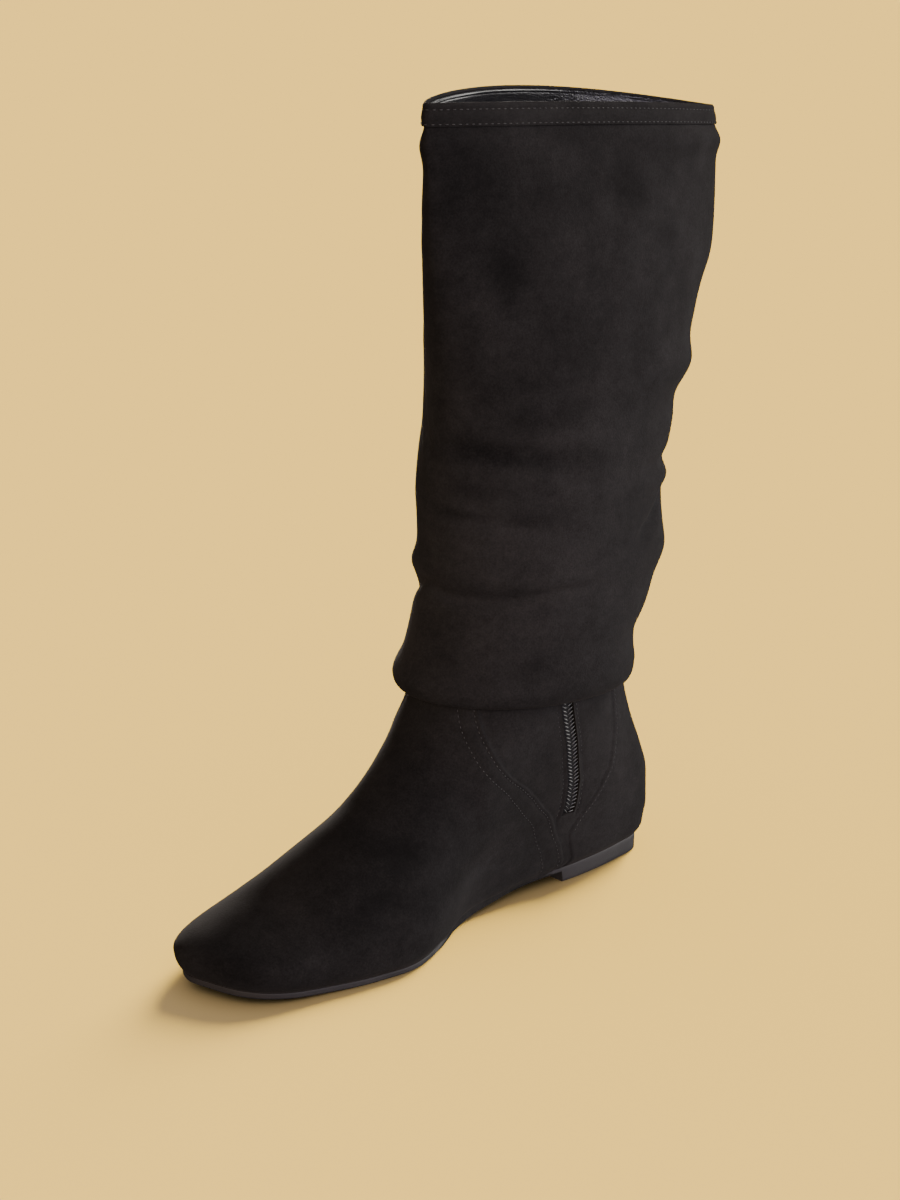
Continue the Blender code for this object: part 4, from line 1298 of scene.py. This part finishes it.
@functools.lru_cache(maxsize=1)
def bars_along_lines():
    """Node tree that lays one small rounded bar after another along each line of a mesh."""
    tree = bpy.data.node_groups.new("bars_along_lines", "GeometryNodeTree")
    face = tree.interface
    face.new_socket("Geometry", in_out="INPUT", socket_type="NodeSocketGeometry")
    for name in ("Pitch", "Bar Length", "Bar Radius", "Slant"):
        face.new_socket(name, in_out="INPUT", socket_type="NodeSocketFloat")
    face.new_socket("Finish", in_out="INPUT", socket_type="NodeSocketMaterial")
    face.new_socket("Geometry", in_out="OUTPUT", socket_type="NodeSocketGeometry")
    given = new_node(tree, "NodeGroupInput").outputs
    result = new_node(tree, "NodeGroupOutput").inputs
    lines = new_node(tree, "GeometryNodeMeshToCurve")
    spaced = new_node(tree, "GeometryNodeResampleCurve", mode="LENGTH")
    along = new_node(tree, "GeometryNodeInputTangent")
    facing = new_node(tree, "GeometryNodeInputNamedAttribute", {"Name": "facing"}, data_type="FLOAT_VECTOR")
    axes = new_node(tree, "FunctionNodeAxesToRotation", primary_axis="X", secondary_axis="Z")
    lean = new_node(tree, "FunctionNodeAxisAngleToRotation", {"Axis": (0, 0, 1)})
    leaned = new_node(tree, "FunctionNodeRotateRotation", rotation_space="LOCAL")
    ball = new_node(tree, "GeometryNodeMeshUVSphere", {"Segments": 8, "Rings": 5, "Radius": 1.0})
    half = new_node(tree, "ShaderNodeMath", {1: 0.5}, operation="MULTIPLY")
    size = new_node(tree, "ShaderNodeCombineXYZ")
    bar = new_node(tree, "GeometryNodeTransform")
    laid = new_node(tree, "GeometryNodeInstanceOnPoints")
    real = new_node(tree, "GeometryNodeRealizeInstances")
    smooth_faces = new_node(tree, "GeometryNodeSetShadeSmooth")
    dressed = new_node(tree, "GeometryNodeSetMaterial")
    for source, target in (
        (given["Geometry"], lines.inputs["Mesh"]),
        (lines.outputs["Curve"], spaced.inputs["Curve"]),
        (given["Pitch"], spaced.inputs["Length"]),
        (along.outputs["Tangent"], axes.inputs["Primary Axis"]),
        (facing.outputs["Attribute"], axes.inputs["Secondary Axis"]),
        (given["Slant"], lean.inputs["Angle"]),
        (axes.outputs["Rotation"], leaned.inputs["Rotation"]),
        (lean.outputs["Rotation"], leaned.inputs["Rotate By"]),
        (given["Bar Length"], half.inputs[0]),
        (half.outputs[0], size.inputs["X"]),
        (given["Bar Radius"], size.inputs["Y"]),
        (given["Bar Radius"], size.inputs["Z"]),
        (ball.outputs["Mesh"], bar.inputs["Geometry"]),
        (size.outputs["Vector"], bar.inputs["Scale"]),
        (spaced.outputs["Curve"], laid.inputs["Points"]),
        (bar.outputs["Geometry"], laid.inputs["Instance"]),
        (leaned.outputs["Rotation"], laid.inputs["Rotation"]),
        (laid.outputs["Instances"], real.inputs["Geometry"]),
        (real.outputs["Geometry"], smooth_faces.inputs["Geometry"]),
        (smooth_faces.outputs["Geometry"], dressed.inputs["Geometry"]),
        (given["Finish"], dressed.inputs["Material"]),
        (dressed.outputs["Geometry"], result["Geometry"]),
    ):
        tree.links.new(source, target)
    return tree


def bars(name, lines, finish, pitch, length, radius, slant=0.0):
    """Mesh of rounded bars along several lines, each given as points and the directions out of them."""
    points = np.concatenate([line[0] for line in lines])
    facing = np.concatenate([line[1] for line in lines])
    edges = []
    first = 0
    for line, _ in lines:
        edges.extend((first + i, first + i + 1) for i in range(len(line) - 1))
        first += len(line)
    mesh = bpy.data.meshes.new(name + "_lines")
    mesh.from_pydata(points.tolist(), edges, [])
    held = mesh.attributes.new("facing", "FLOAT_VECTOR", "POINT")
    held.data.foreach_set("vector", facing.astype(np.float32).ravel())
    guide = added(name + "_lines", mesh)
    tree = bars_along_lines()
    modifier = guide.modifiers.new("bars", "NODES")
    modifier.node_group = tree
    inputs = {"Pitch": pitch, "Bar Length": length, "Bar Radius": radius, "Slant": slant, "Finish": finish}
    for item in tree.interface.items_tree:
        if item.in_out == "INPUT" and item.name in inputs:
            modifier[item.identifier] = inputs[item.name]
    evaluated = guide.evaluated_get(bpy.context.evaluated_depsgraph_get())
    made = bpy.data.meshes.new_from_object(evaluated)
    bpy.data.objects.remove(guide)
    made.name = name
    if not made.polygons:
        raise RuntimeError(name + " came out empty")
    made.materials.clear()
    made.materials.append(finish)
    made.polygons.foreach_set("material_index", np.zeros(len(made.polygons), dtype=np.int32))
    for attribute in [a for a in made.attributes if a.name == "facing"]:
        made.attributes.remove(attribute)
    return added(name, made)


def foot_line(lift, girth, depth, outer=False):
    """Line on the foot through lifts and girths, with the directions out of it."""
    skin = foot_skin()
    turn = skin.turn(lift, girth)
    turn = 2 - turn if outer else turn
    return skin.at(lift, turn, depth + panel_depth(skin, lift, turn)), skin.facing(lift, turn)


class BOOT_OT_zip(bpy.types.Operator):
    """Make the closed zip on the inner ankle: woven tape and the coil's turns."""

    bl_idname = "boot.zip"
    bl_label = "Zip"

    def execute(self, context):
        looks = context.scene.boot_looks
        sizes = context.scene.boot_sizes
        skin = foot_skin()
        lift = np.linspace(ZIP_BOTTOM - ZIP_TAPE_FOOT, UPPER_TOP, 60)
        across = np.linspace(-0.5, 0.5, 17)
        girth = table(SEAMS, "zipper", lift)[:, None] + ZIP_TAPE_WIDTH * across[None, :]
        turn = skin.turn(lift[:, None], girth)
        lift = np.repeat(lift[:, None], len(across), axis=1)
        in_slot = ease((ZIP_SLOT / 2 - TAPE_MARGIN - np.abs(ZIP_TAPE_WIDTH * across)) / TAPE_RUN)
        raised = TAPE_RISE * in_slot[None, :] * ease((lift - ZIP_BOTTOM - TAPE_FOOT_MARGIN) / TAPE_FOOT_RUN)
        face = -UPPER_WALL - GAP
        outside = skin.at(lift, turn, face + raised)
        inside = skin.at(lift, turn, face - ZIP_TAPE_THICKNESS)
        kept = np.ones((len(lift) - 1, len(across)), dtype=bool)
        kept[:, -1] = False
        points, faces, _ = two_sided(outside, inside, kept)
        tape = make_mesh("zip_weave", points, faces, (woven_tape("zip_woven_tape", looks),))
        fitted(tape, "zip_tape")
        finish = coil_nylon("zip_coil_nylon", looks)
        for word, side, start, slant in (("rear", -1, 0.0, sizes.rear_slant),
                                         ("fore", 1, 0.5, sizes.fore_slant)):
            foot = ZIP_BOTTOM + COIL_FOOT + start * sizes.coil_pitch
            lift = np.linspace(foot, UPPER_TOP - COIL_HEAD, 80)
            turn = skin.turn(lift, table(SEAMS, "zipper", lift) + side * COIL_SPREAD - COIL_SHIFT)
            line = (skin.at(lift, turn, -COIL_DEPTH), skin.facing(lift, turn))
            teeth = bars("zip_teeth_" + word, [line], finish,
                         sizes.coil_pitch, sizes.coil_length, sizes.coil_radius, slant)
            fitted(teeth, "zip_coil")
        return {"FINISHED"}


class BOOT_OT_sewing(bpy.types.Operator):
    """Sew the seams of the vamp, counter, zip and collar."""

    bl_idname = "boot.sewing"
    bl_label = "Sewing"

    def execute(self, context):
        looks = context.scene.boot_looks
        sizes = context.scene.boot_sizes
        finish = sewing_thread("sewing_thread", looks)
        sunk = STITCH_SINK * sizes.thread_radius
        lift = np.linspace(0.0035, STITCH_TOP, 120)
        above = lift[lift > FINE_LIFT]
        vamp = table(SEAMS, "vamp", lift)
        counter = table(SEAMS, "counter", above)
        zipped = np.linspace(ZIP_BOTTOM + 0.001, STITCH_TOP, 90)
        zipper = table(SEAMS, "zipper", zipped)
        lines = []
        for outer in (False, True):
            lines.append(foot_line(lift, vamp + EDGE_STITCH, sunk, outer))
            lines.append(foot_line(lift, vamp + second_row(lift), sunk, outer))
            lines.append(foot_line(above, counter - EDGE_STITCH, sunk, outer))
        lines.append(foot_line(zipped, zipper + ZIP_STITCH, sunk))
        lines.append(foot_line(zipped, zipper - ZIP_STITCH, sunk))
        foot = bars("foot_stitches", lines, finish,
                    sizes.seam_pitch, sizes.seam_pitch * sizes.stitch_share, sizes.thread_radius)
        fitted(foot, None)
        angle = np.linspace(0, 360, 721)
        rows = []
        for fringe in COLLAR_ROWS:
            height = COLLAR_HEIGHT + fringe.up
            rows.append((shaft_cloth_at(height, angle, fringe.out + sunk), shaft_facing(height, angle)))
        piece = bars("collar_stitches", rows, finish,
                     sizes.stitch_pitch, sizes.stitch_pitch * sizes.stitch_share, sizes.thread_radius)
        fitted(piece, None)
        return {"FINISHED"}


class BOOT_OT_stage(bpy.types.Operator):
    """Set the pale floor, the soft lights and the camera."""

    bl_idname = "boot.stage"
    bl_label = "Stage"

    def execute(self, context):
        scene = context.scene
        mesh = bpy.data.meshes.new("floor")
        reach = 30.0
        mesh.from_pydata([(-reach, -reach, 0), (reach, -reach, 0), (reach, reach, 0), (-reach, reach, 0)],
                         [], [(0, 1, 2, 3)])
        paper = Finish("floor_paper", Roughness=1.0, Specular_IOR_Level=0.0)
        fibre = paper.noise(400.0, 2.0)
        paper.colours(fibre, scene.boot_looks.floor, ((0.3, 0.995), (0.7, 1.005)))
        mesh.materials.append(paper.made)
        floor = added("floor", mesh)
        world = bpy.data.worlds.new("studio")
        world.use_nodes = True
        air = world.node_tree.nodes["Background"]
        air.inputs["Color"].default_value = (0.10, 0.10, 0.10, 1.0)
        air.inputs["Strength"].default_value = 1.0
        scene.world = world
        floor.visible_diffuse = False
        floor.visible_glossy = False
        boot = [thing for thing in scene.objects if thing.type == "MESH" and thing is not floor]
        low = [thing for thing in boot if thing.name.startswith("sole_unit")]
        self.sun("backlight", (-0.310, 0.930, 0.135), 31.2, 29, (1.0, 0.757, 0.168), [floor], low)
        self.sun("bounce", (0.0, 0.0, 1.0), 1.13, 120, (1.0, 0.81, 0.69), [floor], low)
        self.sun("window", (0.492, 0.853, 0.174), 4.75, 60, (1.0, 0.97, 0.92), boot)
        self.sun("side", (0.985, 0.0, 0.174), 3.15, 60, (0.88, 0.80, 1.0), boot)
        self.sun("glow", (0.337, -0.925, 0.174), 3.45, 60, (1.0, 0.75, 0.56), boot)
        self.sun("fill", (-0.775, 0.627, 0.080), 5.0, 20, (1.0, 0.93, 0.86), boot)
        camera = bpy.data.cameras.new("camera")
        camera.lens = 65.14
        camera.sensor_width = 36.0
        camera.clip_end = 100.0
        eye = added("camera", camera)
        azimuth, elevation = math.radians(47.0), math.radians(18.8)
        back = Vector((math.sin(azimuth) * math.cos(elevation), -math.cos(azimuth) * math.cos(elevation),
                       math.sin(elevation)))
        eye.location = (0.68395, -0.64483, 0.46874)
        eye.rotation_mode = "QUATERNION"
        eye.rotation_quaternion = (-back).to_track_quat("-Z", "Y")
        scene.camera = eye
        return {"FINISHED"}

    def sun(self, name, towards, strength, spread, colour, lit, shading=None):
        """Soft light from one side that falls on some of the things only, and is shaded by some of them."""
        light = bpy.data.lights.new(name, "SUN")
        light.energy = strength
        light.angle = math.radians(spread)
        light.color = colour
        lamp = added(name, light)
        lamp.rotation_mode = "QUATERNION"
        lamp.rotation_quaternion = Vector(towards).to_track_quat("Z", "Y")
        lamp.location = Vector(towards)
        lamp.light_linking.receiver_collection = self.group("lit_by_" + name, lit)
        if shading:
            lamp.light_linking.blocker_collection = self.group("shading_" + name, shading)

    def group(self, name, things):
        made = bpy.data.collections.new(name)
        for thing in things:
            made.objects.link(thing)
        return made


class BOOT_PT_pieces(bpy.types.Panel):
    """Sizes, colours and pieces of the boot."""

    bl_label = "Slouch boot"
    bl_space_type = "VIEW_3D"
    bl_region_type = "UI"
    bl_category = "Boot"

    def draw(self, context):
        for group in (context.scene.boot_sizes, context.scene.boot_looks):
            box = self.layout.box()
            for name in group.__annotations__:
                box.prop(group, name)
        for operator in OPERATORS:
            self.layout.operator(operator.bl_idname)


OPERATORS = (BOOT_OT_sole, BOOT_OT_foot, BOOT_OT_zip, BOOT_OT_shaft, BOOT_OT_collar, BOOT_OT_sewing,
             BOOT_OT_stage)
CLASSES = (BootSizes, BootLooks, *OPERATORS, BOOT_PT_pieces)


def register():
    for made in CLASSES:
        bpy.utils.register_class(made)
    bpy.types.Scene.boot_sizes = bpy.props.PointerProperty(type=BootSizes)
    bpy.types.Scene.boot_looks = bpy.props.PointerProperty(type=BootLooks)


def unregister():
    del bpy.types.Scene.boot_looks
    del bpy.types.Scene.boot_sizes
    for made in reversed(CLASSES):
        bpy.utils.unregister_class(made)


def main():
    register()
    bpy.ops.boot.sole()
    bpy.ops.boot.foot()
    bpy.ops.boot.zip()
    bpy.ops.boot.shaft()
    bpy.ops.boot.collar()
    bpy.ops.boot.sewing()
    bpy.ops.boot.stage()


if __name__ == "__main__":
    main()
